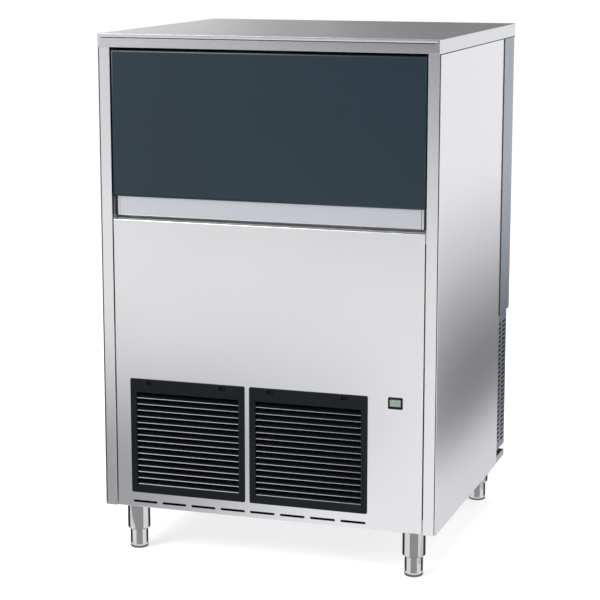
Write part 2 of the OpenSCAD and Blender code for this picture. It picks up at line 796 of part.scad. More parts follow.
// Upper part of the liner: it sits on the tub and steps out to hold the door guides
module bin_rim() color("whitesmoke") difference() {
  box([-guide_out - liner_t, front_y(foam_front), z_rim], [guide_out + liner_t, front_y(bin_back), z_bin_top]);
  box([-bin_hw, front_y(foam_front - 1), z_rim - 1], [bin_hw, front_y(bin_back - liner_t), z_bin_top + 1]);
  box([-guide_out, front_y(foam_front - 1), z_guide], [guide_out, front_y(bin_back - liner_t), z_bin_top + 1]);
}

module bin_foam() difference() {
  box([-foam_hw, front_y(foam_front), z_foam], [foam_hw, front_y(bin_plate), z_bin_top]);
  box([-bin_hw - liner_t, front_y(bin_front), z_bin_floor - liner_t],
    [bin_hw + liner_t, front_y(bin_back), z_bin_top + 1]);
  box([-bin_hw - liner_t, front_y(foam_front - 1), z_sill], [bin_hw + liner_t, front_y(bin_front + 1), z_bin_top + 1]);
  box([-guide_out - liner_t, front_y(foam_front - 1), z_rim], [guide_out + liner_t, front_y(bin_back), z_bin_top + 1]);
  spout_hole();
  drain_hole(bin_drain_d + 8);
}

// Foam round the bin and over it, foamed in place as one body
module bin_insulation() color("#efe3b8") union() {
  bin_foam();
  lid_foam_slab();
}

// Folded shelf and back plate that carry the insulated bin
module bin_support() color("lightgray") difference() {
  union() {
    box([-side_in, front_y(foam_front), z_shelf - sheet], [side_in, front_y(bay_front), z_shelf]);
    box([-side_in, front_y(bin_plate), z_shelf - sheet], [side_in, front_y(bay_front), z_skin - sheet - fit]);
    both_sides() box([side_in - sheet, front_y(foam_front), z_shelf - 2 * flange],
      [side_in, front_y(bay_front), z_shelf]);
  }
  spout_hole();
  drain_hole(bin_drain_d + 8);
}

module lid_foam_slab()
  box([-foam_hw + 1, front_y(foam_front + 2), z_bin_top], [foam_hw - 1, front_y(bin_plate - fit), z_bin_top + lid_foam]);

// Duct that carries the flakes from the breaker head into the bin
module spout_outline(grow) rect([-outlet_hw - grow, z_outlet - grow], [outlet_hw + grow, z_outlet + outlet_h + grow]);

module ice_spout() color("whitesmoke") difference() {
  union() {
    sheet_xz(front_y(bin_back - spout_reach), spout_back - front_y(bin_back - spout_reach)) spout_outline(spout_t);
    sheet_xz(front_y(bay_front), spout_t) spout_outline(spout_t + spout_flange);
  }
  sheet_xz(front_y(bin_back - spout_reach + spout_t), bin_back) spout_outline(0);
  box([-outlet_hw, front_y(bin_back - spout_reach + spout_t), z_outlet - 2 * spout_t],
    [outlet_hw, front_y(bin_back - 2 * spout_t), z_outlet + eps]);
}

module on_axis(z) translate([0, axis_y, z]) children();

module evaporator_cylinder() color("silver") on_axis(z_cylinder) difference() {
  union() {
    cylinder(h = cylinder_l, d = cylinder_d);
    cylinder(h = end_flange, r = flange_r);
    translate([0, 0, cylinder_l - end_flange]) cylinder(h = end_flange, r = flange_r);
  }
  translate([0, 0, -1]) cylinder(h = cylinder_l + 2, r = bore_r);
}

// Refrigerant coil: one helix whose two ends leave through the jacket
function coil_path() = concat(
  [[stub_r, 0, coil_start]],
  [for (k = [0:coil_turns * coil_steps]) let (a = 360 * k / coil_steps)
    [coil_r * cos(a), coil_r * sin(a), coil_start + (coil_end - coil_start) * k / (coil_turns * coil_steps)]],
  [[stub_r, 0, coil_end]]);

module evaporator_coil() color("#b87333") on_axis(0) tube(coil_path(), coil_d, 8);

module evaporator_jacket() color("#2b2b2b") on_axis(0) difference() {
  translate([0, 0, z_cylinder + end_flange]) cylinder(h = cylinder_l - 2 * end_flange, d = jacket_d);
  translate([0, 0, z_cylinder]) cylinder(h = cylinder_l, r = jacket_bore);
  for (z = [coil_start, coil_end]) rod_x([0, 0, z], coil_d + 4, jacket_d);
}

// Auger: a core with one helical flight and a shaft end at each end
flight_angle = 44;
flight_r = bore_r - auger_gap;
auger_l = cylinder_l - 6;
flight_turns = auger_l / auger_pitch;
flight_steps = 18;
head_floor = 10;

function arc_points(r, a0, a1, n) = [for (k = [0:n]) let (a = a0 + (a1 - a0) * k / n) r * [cos(a), sin(a)]];

module flight() linear_extrude(height = auger_l, twist = -360 * flight_turns,
  slices = round(flight_turns * flight_steps), $fn = 0, $fs = 60)
  polygon(concat(arc_points(auger_core / 2 - 2, 0, flight_angle, 3), arc_points(flight_r, flight_angle, 0, 3)));

module auger() color("gainsboro") on_axis(z_cylinder + 3) {
  cylinder(h = auger_l, d = auger_core);
  flight();
  translate([0, 0, -3 - housing_h + 16]) cylinder(h = housing_h - 12, d = shaft_d);
  translate([0, 0, auger_l - eps]) cylinder(h = head_h - 6 + eps, d = shaft_d);
}

module auger_coupling() color("dimgray") on_axis(z_housing + 14) difference() {
  union() {
    translate([0, 0, -14 - boss_h - 20]) cylinder(h = boss_h + 34, d = shaft_d - 6);
    translate([0, 0, -8]) cylinder(h = 10, d = shaft_d + 8);
  }
  translate([-2, -shaft_d, 0]) cube([4, 2 * shaft_d, 3]);
}

// Breaker head: a ring of ribs that squeezes and breaks the ice, with its outlet
module breaker_head() color("lightgray") difference() {
  union() {
    on_axis(z_head) difference() {
      union() {
        cylinder(h = head_h - 12, r = head_r);
        translate([0, 0, head_h - 12]) cylinder(h = 12, d1 = 2 * head_r, d2 = 2 * shaft_d);
      }
      translate([0, 0, -1]) cylinder(h = head_h - 16, r = bore_r);
      translate([0, 0, -1]) cylinder(h = head_h + 2, d = shaft_d + 2 * run);
    }
    on_axis(z_head) for (a = [0:45:359]) rotate(a)
      translate([bore_r - 9, -3, 0]) cube([9 + eps, 6, head_floor]);
    sheet_xz(spout_back, head_r * 0.8) spout_outline(spout_t);
  }
  on_axis(z_head + head_floor + 5) cylinder(h = outlet_h, r = bore_r);
  sheet_xz(spout_back - 1, head_r * 1.1) spout_outline(0);
}

module lower_housing() color("#b5a642") difference() {
  on_axis(z_housing) union() {
    cylinder(h = 10, r = flange_r);
    cylinder(h = housing_h, r = bore_r + 4);
    translate([0, 0, housing_h - 8]) cylinder(h = 8, r = flange_r);
    translate([-nipple_l, 0, nipple_z - z_housing]) rotate([0, 90, 0]) cylinder(h = nipple_l - bore_r + 4, d = hose_d);
  }
  on_axis(z_housing - 1) cylinder(h = 18, d = shaft_d + 12);
  on_axis(z_housing) cylinder(h = housing_h + 1, d = shaft_d + 2 * run);
  on_axis(z_housing + 26) cylinder(h = housing_h, r = bore_r - 4);
  on_axis(nipple_z) rod_x([-nipple_l - 1, 0, 0], hose_d - 6, nipple_l - bore_r / 2);
}

motor_d = 100;
gearbox_w = 124;
gearbox_d = 104;

module gearbox_plan(rim) round_rect(-[gearbox_w, gearbox_d] / 2 - [rim, rim],
  [gearbox_w, gearbox_d] / 2 + [rim, rim], 18 + rim);

module gear_motor() color("#5a6068") on_axis(0) difference() {
  union() {
    translate([0, 0, z_motor]) cylinder(h = motor_h, d = motor_d);
    for (a = [0:20:359]) rotate(a) translate([motor_d / 2 - 2, -1.5, z_motor + 14]) cube([8, 3, motor_h - 28]);
    translate([0, 0, z_motor]) cylinder(h = 8, d = motor_d + 16);
    translate([0, 0, z_gearbox]) linear_extrude(gearbox_h) gearbox_plan(0);
    translate([0, 0, z_gearbox + gearbox_h - 8]) linear_extrude(8) gearbox_plan(5);
    translate([0, 0, z_gearbox + gearbox_h - eps]) cylinder(h = boss_h + eps, d = motor_d - 4);
  }
  translate([0, 0, z_housing - boss_h - 22]) cylinder(h = boss_h + 30, d = shaft_d - 6 + 2 * run);
}

stand_t = 3;
stand_hw = gearbox_w / 2 + 10;
stand_hd = 60;

module motor_stand() color("gray") on_axis(0) difference() {
  union() {
    translate([0, 0, z_motor - stand_t]) linear_extrude(stand_t)
      round_rect([-stand_hw, -stand_hd - 8], [stand_hw, stand_hd + 8], 8);
    both_sides() {
      box([stand_hw - stand_t, -stand_hd, z_floor], [stand_hw, stand_hd, z_motor - 1]);
      box([stand_hw - stand_t, -stand_hd, z_floor], [stand_hw + 20, stand_hd, z_floor + stand_t]);
    }
  }
  translate([0, 0, z_motor - stand_t - 1]) cylinder(h = stand_t + 2, d = motor_d - 30);
}

module water_reservoir() color("#e9eef2") difference() {
  union() {
    box([reservoir_x, reservoir_y, z_reservoir],
      [reservoir_x + reservoir_w, reservoir_y + reservoir_d, z_reservoir + reservoir_h]);
    translate([hose_x, axis_y, z_reservoir - 14]) cylinder(h = 15, d = hose_d);
  }
  box([reservoir_x + reservoir_t, reservoir_y + reservoir_t, z_reservoir + reservoir_t],
    [reservoir_x + reservoir_w - reservoir_t, reservoir_y + reservoir_d - reservoir_t, z_reservoir + reservoir_h + 1]);
  translate([hose_x, axis_y, z_reservoir - 15]) cylinder(h = 20, d = hose_d - 6);
}

lid_z = z_reservoir + reservoir_h;

module reservoir_lid() color("#c9d2da") difference() {
  union() {
    box([reservoir_x - 2, reservoir_y, lid_z], [reservoir_x + reservoir_w + 2, reservoir_y + reservoir_d + 2, lid_z + 3]);
    box([reservoir_x + reservoir_t + fit, reservoir_y + reservoir_t + fit, lid_z - 5],
      [reservoir_x + reservoir_w - reservoir_t - fit, reservoir_y + reservoir_d - reservoir_t - fit, lid_z + 1]);
  }
  box([reservoir_x + 2 * reservoir_t, reservoir_y + 2 * reservoir_t, lid_z - 6],
    [reservoir_x + reservoir_w - 2 * reservoir_t, reservoir_y + reservoir_d - 2 * reservoir_t, lid_z]);
  translate([valve_x, valve_y + 16, lid_z - 6]) cylinder(h = 12, d = 14 + 2 * fit);
}

// Float valve that hangs from the lid, with a fork for the float arm
fork_t = 3;
arm_t = 4;
float_pin_d = 4;

module float_valve() color("#d8d8d8") difference() {
  union() {
    translate([valve_x, valve_y + 16, lid_z]) translate([0, 0, 3]) cylinder(h = 3, d = 22);
    translate([valve_x, valve_y + 16, z_float_pin + 8]) cylinder(h = lid_z + 18 - z_float_pin - 8, d = 14);
    for (s = [-1, 1]) translate([valve_x + s * (arm_t / 2 + fit + fork_t / 2) - fork_t / 2, valve_y + 10, z_float_pin - 6])
      cube([fork_t, 18, 18]);
    translate([valve_x - arm_t / 2 - fit - fork_t, valve_y + 9, z_float_pin + 8])
      cube([arm_t + 2 * (fit + fork_t), 14, 6]);
  }
  rod_x([valve_x - 10, float_pin_y, z_float_pin], float_pin_d + 2 * run, 20);
}

module float_arm() color("#e8e0d0") {
  rod_x([valve_x - arm_t / 2 - fit - fork_t, float_pin_y, z_float_pin], float_pin_d, arm_t + 2 * (fit + fork_t));
  translate([valve_x, float_pin_y, z_float_pin]) rotate([-20, 0, 0]) {
    box([-arm_t / 2, -4, -3.5], [arm_t / 2, float_reach, 3.5]);
    translate([0, float_reach, 0]) rotate([20, 0, 0]) translate([0, 0, -26]) cylinder(h = 30, d = 32);
  }
}

// Hoses: reservoir feed, water supply and bin drain
feed_path = [
  [hose_x, axis_y, z_reservoir - 14], [hose_x, axis_y, nipple_z], [-nipple_l, axis_y, nipple_z]];
supply_in = 12;
supply_bend = 26;
supply_y = front_y(vent_face - supply_in - supply_bend - 2);
supply_path = [
  [valve_x, front_y(vent_face - supply_in), inlet_z], [valve_x, supply_y, inlet_z],
  [valve_x, supply_y, lid_z + 60], [valve_x, valve_y + 16, lid_z + 60], [valve_x, valve_y + 16, lid_z + 18]];
drain_run = z_shelf - 58;
drain_reach = 200;
drain_path = [
  [0, drain_y, z_shelf - 26], [0, drain_y, drain_run], [drain_x, drain_y, drain_run],
  [drain_x, drain_y + drain_reach, drain_run], [drain_x, drain_y + drain_reach, drain_z],
  [drain_x, front_y(vent_face - 30), drain_z]];

module water_hoses() color("#dfe6ea") {
  tube(bent(feed_path, 40), hose_d, 8);
  tube(bent(supply_path, supply_bend), 12, 8);
  tube(bent(drain_path, 30), 20, 8);
}

// Hermetic compressor on four rubber grommets
module compressor() color("#1c1d1f") translate([compressor_x, compressor_y, z_compressor]) difference() {
  union() {
    translate([0, 0, 6]) rotate_extrude() {
      rect([0, 0], [compressor_d / 2 - 30, compressor_h - 6]);
      rect([0, 20], [compressor_d / 2, compressor_h - 36]);
      translate([compressor_d / 2 - 30, compressor_h - 36]) circle(30);
      rect([0, 0], [compressor_d / 2 - 20, 40]);
      translate([compressor_d / 2 - 20, 20]) circle(20);
    }
    translate([0, 0, compressor_h * 0.5]) cylinder(h = 5, d = compressor_d + 5);
    linear_extrude(foot_plate) round_rect([-can_foot, -can_foot], [can_foot, can_foot], 14);
    cylinder(h = 8, d = compressor_d - 60);
  }
  for (x = [-foot_hole, foot_hole], y = [-foot_hole, foot_hole]) translate([x, y, -1]) cylinder(h = foot_plate + 2, d = 12);
}

module compressor_grommets() color("#111111") for (x = [-foot_hole, foot_hole], y = [-foot_hole, foot_hole])
  translate([compressor_x + x, compressor_y + y, z_floor]) {
    cylinder(h = grommet_h, d1 = 26, d2 = 22);
    cylinder(h = grommet_h + foot_plate, d = 11);
    translate([0, 0, grommet_h + foot_plate]) cylinder(h = 4, d = 16);
  }

module terminal_cover() color("#2a2c2e")
  box([compressor_x - 28, compressor_y - compressor_d / 2 - 30, z_compressor + 70],
    [compressor_x + 28, compressor_y - compressor_d / 2 - 3, z_compressor + 150]);

// Condenser: fins, end plates, hairpin bends and two tube stubs
fin_count = floor((condenser_w - 6) / fin_pitch);
tube_y = front_y(condenser_front + condenser_d / 2);
tube_pitch = condenser_h / tube_rows;
stub_x = condenser_x + condenser_w + 16;

module fin_outline() difference() {
  rect([condenser_x, front_y(condenser_front)], [condenser_x + condenser_w, front_y(condenser_back)]);
  for (k = [0:fin_count - 1]) {
    x = condenser_x + 4 + k * fin_pitch;
    rect([x, front_y(condenser_front - 1)], [x + fin_slot, front_y(condenser_front + condenser_d * 0.35)]);
    rect([x, front_y(condenser_back - condenser_d * 0.35)], [x + fin_slot, front_y(condenser_back + 1)]);
  }
}

module condenser() color("#a9b0b5") {
  translate([0, 0, z_condenser]) linear_extrude(condenser_h) fin_outline();
  for (x = [condenser_x - 2, condenser_x + condenser_w])
    box([x, front_y(condenser_front), z_floor], [x + 2, front_y(condenser_back), condenser_top]);
  for (k = [0:tube_rows / 2 - 1]) translate([condenser_x - 2, tube_y, z_condenser + (2 * k + 1) * tube_pitch])
    rotate([90, 0, 0]) rotate([0, 0, 90]) rotate_extrude(angle = 180) translate([tube_pitch / 2, 0]) circle(d = tube_d);
  for (k = [1:tube_rows / 2 - 1]) translate([condenser_x + condenser_w + 2, tube_y, z_condenser + 2 * k * tube_pitch])
    rotate([90, 0, 0]) rotate([0, 0, -90]) rotate_extrude(angle = 180) translate([tube_pitch / 2, 0]) circle(d = tube_d);
  for (z = [z_condenser + tube_pitch / 2, condenser_top - tube_pitch / 2])
    rod_x([condenser_x + condenser_w, tube_y, z], tube_d, stub_x - condenser_x - condenser_w);
}

// Fan in a ring on the shroud, on a motor held by three arms
module fan_shroud() color("#3a3f44") difference() {
  union() {
    sheet_xz(front_y(condenser_back), sheet)
      rect([condenser_x - 2, z_floor], [condenser_x + condenser_w + 2, condenser_top]);
    rod_y([fan_x, front_y(condenser_back), fan_z], fan_d + 14, ring_l);
  }
  rod_y([fan_x, front_y(condenser_back - 1), fan_z], fan_d + 8, ring_l + 2);
}

module fan_motor() color("#4a4f55") translate([fan_x, 0, fan_z]) difference() {
  union() {
    rod_y([0, front_y(fan_motor_front), 0], fan_motor_d, 62);
    rod_y([0, front_y(fan_motor_front - 6), 0], 28, 8);
    for (a = [30, 150, 270]) rotate([0, a, 0])
      box([0, front_y(fan_motor_front + 4), -6], [fan_d / 2 + 7, front_y(fan_motor_front + 7), 6]);
    for (a = [30, 150, 270]) rotate([0, a, 0])
      box([fan_d / 2 + 4, front_y(condenser_back + ring_l), -6], [fan_d / 2 + 7, front_y(fan_motor_front + 7), 6]);
  }
  rod_y([0, front_y(fan_motor_front - 7), 0], fan_shaft + 2 * run, 30);
}

module blade() rotate([60, 0, 0]) linear_extrude(2, center = true) difference() {
  round_rect([hub_d / 2 - 6, -30], [fan_d / 2, 30], 14);
  translate([fan_d / 4, 62]) circle(40);
}

module fan_blade() color("#202327") translate([fan_x, front_y(hub_front), fan_z]) {
  difference() {
    rod_y([0, 0, 0], hub_d, hub_l);
    rod_y([0, 4, 0], hub_d - 6, hub_l);
  }
  rod_y([0, 0, 0], 18, hub_l);
  rod_y([0, 0, 0], fan_shaft, fan_motor_front - hub_front + 18);
  for (k = [0:blade_count - 1]) rotate([0, 360 * k / blade_count, 0]) intersection() {
    translate([0, hub_l / 2, 0]) blade();
    difference() {
      rod_y([0, -20, 0], fan_d, hub_l + 40);
      rod_y([0, -30, 0], hub_d - 2, hub_l + 60);
    }
  }
}

// Refrigerant lines
drier_x = stub_x + 22;
drier_z = z_condenser + tube_pitch / 2;
drier_y = front_y(condenser_back + drier_gap);
riser_y = drier_y + drier_l + riser_out;
z_can = z_compressor + compressor_h;
z_lines = z_can + 66;
line_x = stub_r + 20;
discharge_path = [
  [compressor_x - 40, compressor_y, z_can], [compressor_x - 40, compressor_y, z_lines],
  [drier_x, compressor_y, z_lines], [drier_x, tube_y, z_lines],
  [drier_x, tube_y, condenser_top - tube_pitch / 2], [stub_x, tube_y, condenser_top - tube_pitch / 2]];
liquid_path = [[stub_x, tube_y, drier_z], [drier_x, tube_y, drier_z], [drier_x, drier_y, drier_z]];
capillary_path = [
  [drier_x, drier_y + drier_l, drier_z], [drier_x, riser_y, drier_z],
  [drier_x, riser_y, z_can + 22], [line_x, riser_y, z_can + 22],
  [line_x, axis_y, z_can + 22], [line_x, axis_y, coil_start], [stub_r, axis_y, coil_start]];
suction_path = [
  [stub_r, axis_y, coil_end], [line_x + 20, axis_y, coil_end], [line_x + 20, axis_y, z_can + 48],
  [line_x + 20, compressor_y + 29, z_can + 48], [compressor_x + 30, compressor_y + 29, z_can + 48],
  [compressor_x + 30, compressor_y + 29, z_can]];

module filter_drier() color("#b87333") {
  rod_y([drier_x, drier_y + 12, drier_z], 34, drier_l - 24);
  translate([drier_x, drier_y, drier_z]) rotate([-90, 0, 0]) cylinder(h = 12, d1 = 12, d2 = 34);
  translate([drier_x, drier_y + drier_l - 12, drier_z]) rotate([-90, 0, 0]) cylinder(h = 12, d1 = 34, d2 = 12);
}

module copper_pipes() color("#b87333") {
  tube(bent(discharge_path, 12), 8, 8);
  tube(bent(liquid_path, 12), 8, 8);
  tube(bent(capillary_path, 12), 6, 8);
  tube(bent(suction_path, 16), 10, 8);
}

module control_box() color("#c4c9cd") difference() {
  union() {
    box([box_x, box_y, z_floor], [box_x + box_w, box_y + box_d, z_floor + box_h]);
    box([box_x - 1.5, box_y - 1.5, z_floor + box_h - 24], [box_x + box_w + 1.5, box_y + box_d + 1.5, z_floor + box_h]);
  }
  box([box_x + 2, box_y + 2, z_floor + 2], [box_x + box_w - 2, box_y + box_d - 2, z_floor + box_h - 2]);
}

// Rear connections
module water_inlet() color("#c9a94f") translate([valve_x, 0, inlet_z]) difference() {
  union() {
    rod_y([0, front_y(vent_face - supply_in), 0], 12, supply_in);
    rod_y([0, front_y(vent_face - sheet - 6), 0], inlet_collar + 8, 6);
    rod_y([0, front_y(vent_face - sheet - 1), 0], inlet_collar, sheet + 1 + collar_out);
    rod_y([0, front_y(vent_face), 0], inlet_d, collar_out + 15);
  }
  rod_y([0, front_y(vent_face - 25), 0], 8, 50);
}

module drain_spigot() color("#dfe6ea") {
  translate([drain_x, 0, drain_z]) difference() {
    union() {
      rod_y([0, front_y(vent_face - 30), 0], 20, 30);
      rod_y([0, front_y(vent_face - sheet - 5), 0], drain_collar + 8, 5);
      rod_y([0, front_y(vent_face - sheet - 1), 0], drain_collar, sheet + 1 + collar_out);
      rod_y([0, front_y(vent_face), 0], drain_d, collar_out + 17);
    }
    rod_y([0, front_y(vent_face - 31), 0], 15, 60);
  }
  translate([0, drain_y, z_shelf - 26]) difference() {
    union() {
      cylinder(h = z_bin_floor - z_shelf + 26, d = bin_drain_d - 2 * fit);
      translate([0, 0, z_bin_floor - z_shelf + 26]) cylinder(h = 2, d = bin_drain_d + 16);
    }
    translate([0, 0, -1]) cylinder(h = floor_foam + 60, d = bin_drain_d - 7);
  }
}

module cable_gland() color("#1a1a1a") translate([gland_x, 0, gland_z]) difference() {
  union() {
    rod_y([0, front_y(vent_face - sheet - 6), 0], 28, 6);
    rod_y([0, front_y(vent_face - sheet - 1), 0], gland_bore + 7, 4);
    translate([0, front_y(vent_face), 0]) rotate([-90, 0, 0]) cylinder(h = 6, d = 28, $fn = 6);
    translate([0, front_y(vent_face + 6), 0]) rotate([-90, 0, 0]) cylinder(h = 14, d1 = 22, d2 = gland_bore + 4);
  }
  rod_y([0, front_y(vent_face - 10), 0], gland_bore, 40);
}

// Legs: a fixed sleeve, and a foot that screws in and out of it
module leg_sleeves() color("silver") for (x = [-leg_x, leg_x], y = leg_y) translate([x, y, sleeve_foot]) difference() {
  union() {
    translate([0, 0, 3]) cylinder(h = sleeve_l - 3, d = sleeve_d);
    cylinder(h = 3, d1 = sleeve_d - 6, d2 = sleeve_d);
  }
  translate([0, 0, -1]) cylinder(h = sleeve_l - 9, d = sleeve_bore);
  translate([0, 0, -1]) cylinder(h = sleeve_l + 2, d = stud_d + 2 * run);
}

module foot(x, y) color("silver") translate([x, y, 0]) {
  rotate_extrude() {
    rect([0, foot_edge], [foot_d / 2, sleeve_foot + foot_in]);
    rect([0, 0], [foot_d / 2 - foot_edge, foot_edge]);
    intersection() {
      translate([foot_d / 2 - foot_edge, foot_edge]) circle(foot_edge);
      rect([0, 0], [foot_d, foot_edge]);
    }
  }
  cylinder(h = leg_h - 1, d = stud_d);
}

module foot_front_left() foot(-leg_x, leg_y[0]);
module foot_front_right() foot(leg_x, leg_y[0]);
module foot_rear_left() foot(-leg_x, leg_y[1]);
module foot_rear_right() foot(leg_x, leg_y[1]);

// Pan-head screws in the rear cover and the lower rear panel
module panel_screws() color("silver") for (x = [-1, 0, 1] * (side_in - 24)) {
  for (z = [z_cover + 60, z_lip - 40]) rod_y([x, front_y(rear_face), z], 9, 1.4);
  if (x != 0) for (z = [z_tray + 12, z_vent - 16]) rod_y([x, front_y(vent_face), z], 9, 1.8);
}

base_tray();
front_frame();
side_panel_left();
side_panel_right();
rear_frame();
top_panel();
rear_cover();
rear_grille();
front_panel();
grille_left();
grille_right();
air_filters();
switch_body();
switch_rocker();
door_shell();
door_core();
door_liner();
door_strip();
door_pivot_pins();
door_shoes();
door_guides();
sill_gasket();
bin_liner();
bin_rim();
bin_insulation();
bin_support();
ice_spout();
evaporator_cylinder();
evaporator_coil();
evaporator_jacket();
auger();
auger_coupling();
breaker_head();
lower_housing();
gear_motor();
motor_stand();
water_reservoir();
reservoir_lid();
float_valve();
float_arm();
water_hoses();
compressor();
compressor_grommets();
terminal_cover();
condenser();
fan_shroud();
fan_motor();
fan_blade();
filter_drier();
copper_pipes();
control_box();
water_inlet();
drain_spigot();
cable_gland();
leg_sleeves();
foot_front_left();
foot_front_right();
foot_rear_left();
foot_rear_right();
panel_screws();
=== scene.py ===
# %% [markdown]
# # Flake ice machine
# A catering ice machine: a stainless cabinet on four legs, a slate-coloured door over the ice bin,
# and a lower front panel with two black louvred grilles and a rocker switch. The solid model comes
# in first as a fixed frame. Each visible solid is then either given a finish or replaced by a piece
# with the folds, roundings and small parts that a solid model leaves out.

# %% Load the solid model
import json
import math

import bmesh
import bpy
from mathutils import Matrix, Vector


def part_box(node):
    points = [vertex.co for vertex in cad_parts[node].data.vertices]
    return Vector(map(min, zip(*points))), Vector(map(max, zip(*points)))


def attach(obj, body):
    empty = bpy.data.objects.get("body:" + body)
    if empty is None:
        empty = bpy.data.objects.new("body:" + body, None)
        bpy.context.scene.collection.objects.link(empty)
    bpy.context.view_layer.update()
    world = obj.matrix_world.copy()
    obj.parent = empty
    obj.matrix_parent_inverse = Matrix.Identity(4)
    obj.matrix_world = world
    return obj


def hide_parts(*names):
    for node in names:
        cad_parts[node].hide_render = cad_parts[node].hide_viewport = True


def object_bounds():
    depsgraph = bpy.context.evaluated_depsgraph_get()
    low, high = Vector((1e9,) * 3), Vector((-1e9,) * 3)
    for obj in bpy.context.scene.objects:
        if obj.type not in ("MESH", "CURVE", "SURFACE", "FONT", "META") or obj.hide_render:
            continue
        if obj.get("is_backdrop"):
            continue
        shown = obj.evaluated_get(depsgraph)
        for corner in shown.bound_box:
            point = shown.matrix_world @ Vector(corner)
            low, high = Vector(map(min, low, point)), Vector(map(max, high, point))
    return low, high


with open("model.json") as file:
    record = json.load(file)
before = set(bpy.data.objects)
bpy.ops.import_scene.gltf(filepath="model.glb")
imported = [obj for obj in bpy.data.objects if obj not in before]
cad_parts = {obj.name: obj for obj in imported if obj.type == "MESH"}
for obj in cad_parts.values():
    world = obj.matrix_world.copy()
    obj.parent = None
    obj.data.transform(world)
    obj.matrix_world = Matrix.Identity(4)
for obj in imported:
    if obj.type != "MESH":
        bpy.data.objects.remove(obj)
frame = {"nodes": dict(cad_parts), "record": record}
cad_low, cad_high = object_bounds()
nodes = frame["nodes"]
body_of_node = {n: b for b, names in frame["record"]["behaviour"]["bodies"].items() for n in names}
MM = 0.001
print("solids:", len(nodes), "size in mm:", [round(v / MM) for v in cad_high - cad_low])

# %% [markdown]
# ## Camera
# The picture was taken from the right of the front and a little above the top. A long lens keeps the
# uprights nearly parallel, as they are on a catalogue picture. The place and the lens could be set by
# eye, but a fit to the cabinet's corners and feet is quicker and closer.

# %% Camera
camera_data = bpy.data.cameras.new("camera")
camera_data.sensor_width = 36.0
camera_data.lens = 116.2
camera = bpy.data.objects.new("camera", camera_data)
bpy.context.scene.collection.objects.link(camera)
camera.location = (1.3002, -4.0567, 1.3378)
CAMERA_YAW, CAMERA_PITCH = 0.3185, 0.1906
camera.rotation_euler = (math.pi / 2 - CAMERA_PITCH, 0, CAMERA_YAW)
bpy.context.scene.camera = camera
bpy.context.scene.view_settings.view_transform = "Standard"
print("camera", [round(v, 2) for v in camera.location], "lens", camera_data.lens)

# %% [markdown]
# ## Floor and world
# The machine stands on a white sweep. A white floor lit from above would need so much light that the
# pale steel clips, so the floor adds a little light of its own for the camera, and less of it near the
# machine. The rest of its brightness is plain diffuse, and that part keeps the shadow under the cabinet.
# Steel and glass see it as plain white.


# %% World
def add_node(tree, kind, **inputs):
    """A shader node with some of its sockets set by name."""
    node = tree.nodes.new(kind)
    for name, value in inputs.items():
        node.inputs[name.replace("_", " ")].default_value = value
    return node


def add_math(tree, operation, first, second):
    node = tree.nodes.new("ShaderNodeMath")
    node.operation = operation
    for socket, value in zip(node.inputs, (first, second)):
        if isinstance(value, bpy.types.NodeSocket):
            tree.links.new(value, socket)
        else:
            socket.default_value = value
    return node.outputs[0]


def seen_directly(tree):
    """1 for camera, mirror and glass rays, 0 for the light that falls on things."""
    path = tree.nodes.new("ShaderNodeLightPath")
    straight = add_math(tree, "MAXIMUM", path.outputs["Is Camera Ray"], path.outputs["Is Glossy Ray"])
    return add_math(tree, "MAXIMUM", straight, path.outputs["Is Transmission Ray"])


WORLD_LIGHT, WORLD_SEEN = 0.42, 1.0
world = bpy.data.worlds.new("studio")
bpy.context.scene.world = world
world.use_nodes = True
background = world.node_tree.nodes["Background"]
background.inputs["Color"].default_value = (1, 1, 1, 1)
spread = add_math(world.node_tree, "MULTIPLY", seen_directly(world.node_tree), WORLD_SEEN - WORLD_LIGHT)
world_strength = add_math(world.node_tree, "ADD", spread, WORLD_LIGHT)
world.node_tree.links.new(world_strength, background.inputs["Strength"])
print("world: lights at", WORLD_LIGHT, "and is seen at", WORLD_SEEN)

# %% Floor
FLOOR_SIZE, FLOOR_GREY, FLOOR_IN_STEEL = 40.0, 0.8, 1.08
FLOOR_NEAR, FLOOR_FAR, OWN_LIGHT_NEAR, OWN_LIGHT_FAR = 0.5, 1.8, 0.5, 0.7
floor_mesh = bpy.data.meshes.new("floor")
half = FLOOR_SIZE / 2
floor_corners = [(-half, -half, 0), (half, -half, 0), (half, half, 0), (-half, half, 0)]
floor_mesh.from_pydata(floor_corners, [], [(0, 1, 2, 3)])
floor = bpy.data.objects.new("floor", floor_mesh)
bpy.context.scene.collection.objects.link(floor)
floor_white = bpy.data.materials.new("floor_white")
floor_white.use_nodes = True
tree = floor_white.node_tree
floor_bsdf = tree.nodes["Principled BSDF"]
floor_bsdf.inputs["Base Color"].default_value = (FLOOR_GREY, FLOOR_GREY, FLOOR_GREY, 1)
floor_bsdf.inputs["Roughness"].default_value = 0.9
floor_bsdf.inputs["Specular IOR Level"].default_value = 0.0
floor_bsdf.inputs["Emission Color"].default_value = (1, 1, 1, 1)
floor_path = tree.nodes.new("ShaderNodeLightPath")
distance = tree.nodes.new("ShaderNodeVectorMath")
distance.operation = "LENGTH"
tree.links.new(tree.nodes.new("ShaderNodeTexCoord").outputs["Object"], distance.inputs[0])
glow_ring = add_node(tree, "ShaderNodeMapRange", From_Min=FLOOR_NEAR, From_Max=FLOOR_FAR,
                     To_Min=OWN_LIGHT_NEAR, To_Max=OWN_LIGHT_FAR)
glow_ring.interpolation_type = "SMOOTHSTEP"
tree.links.new(distance.outputs["Value"], glow_ring.inputs["Value"])
own_light = add_math(tree, "MULTIPLY", floor_path.outputs["Is Camera Ray"], glow_ring.outputs["Result"])
tree.links.new(own_light, floor_bsdf.inputs["Emission Strength"])
mirrored = add_math(tree, "MAXIMUM", floor_path.outputs["Is Glossy Ray"],
                    floor_path.outputs["Is Transmission Ray"])
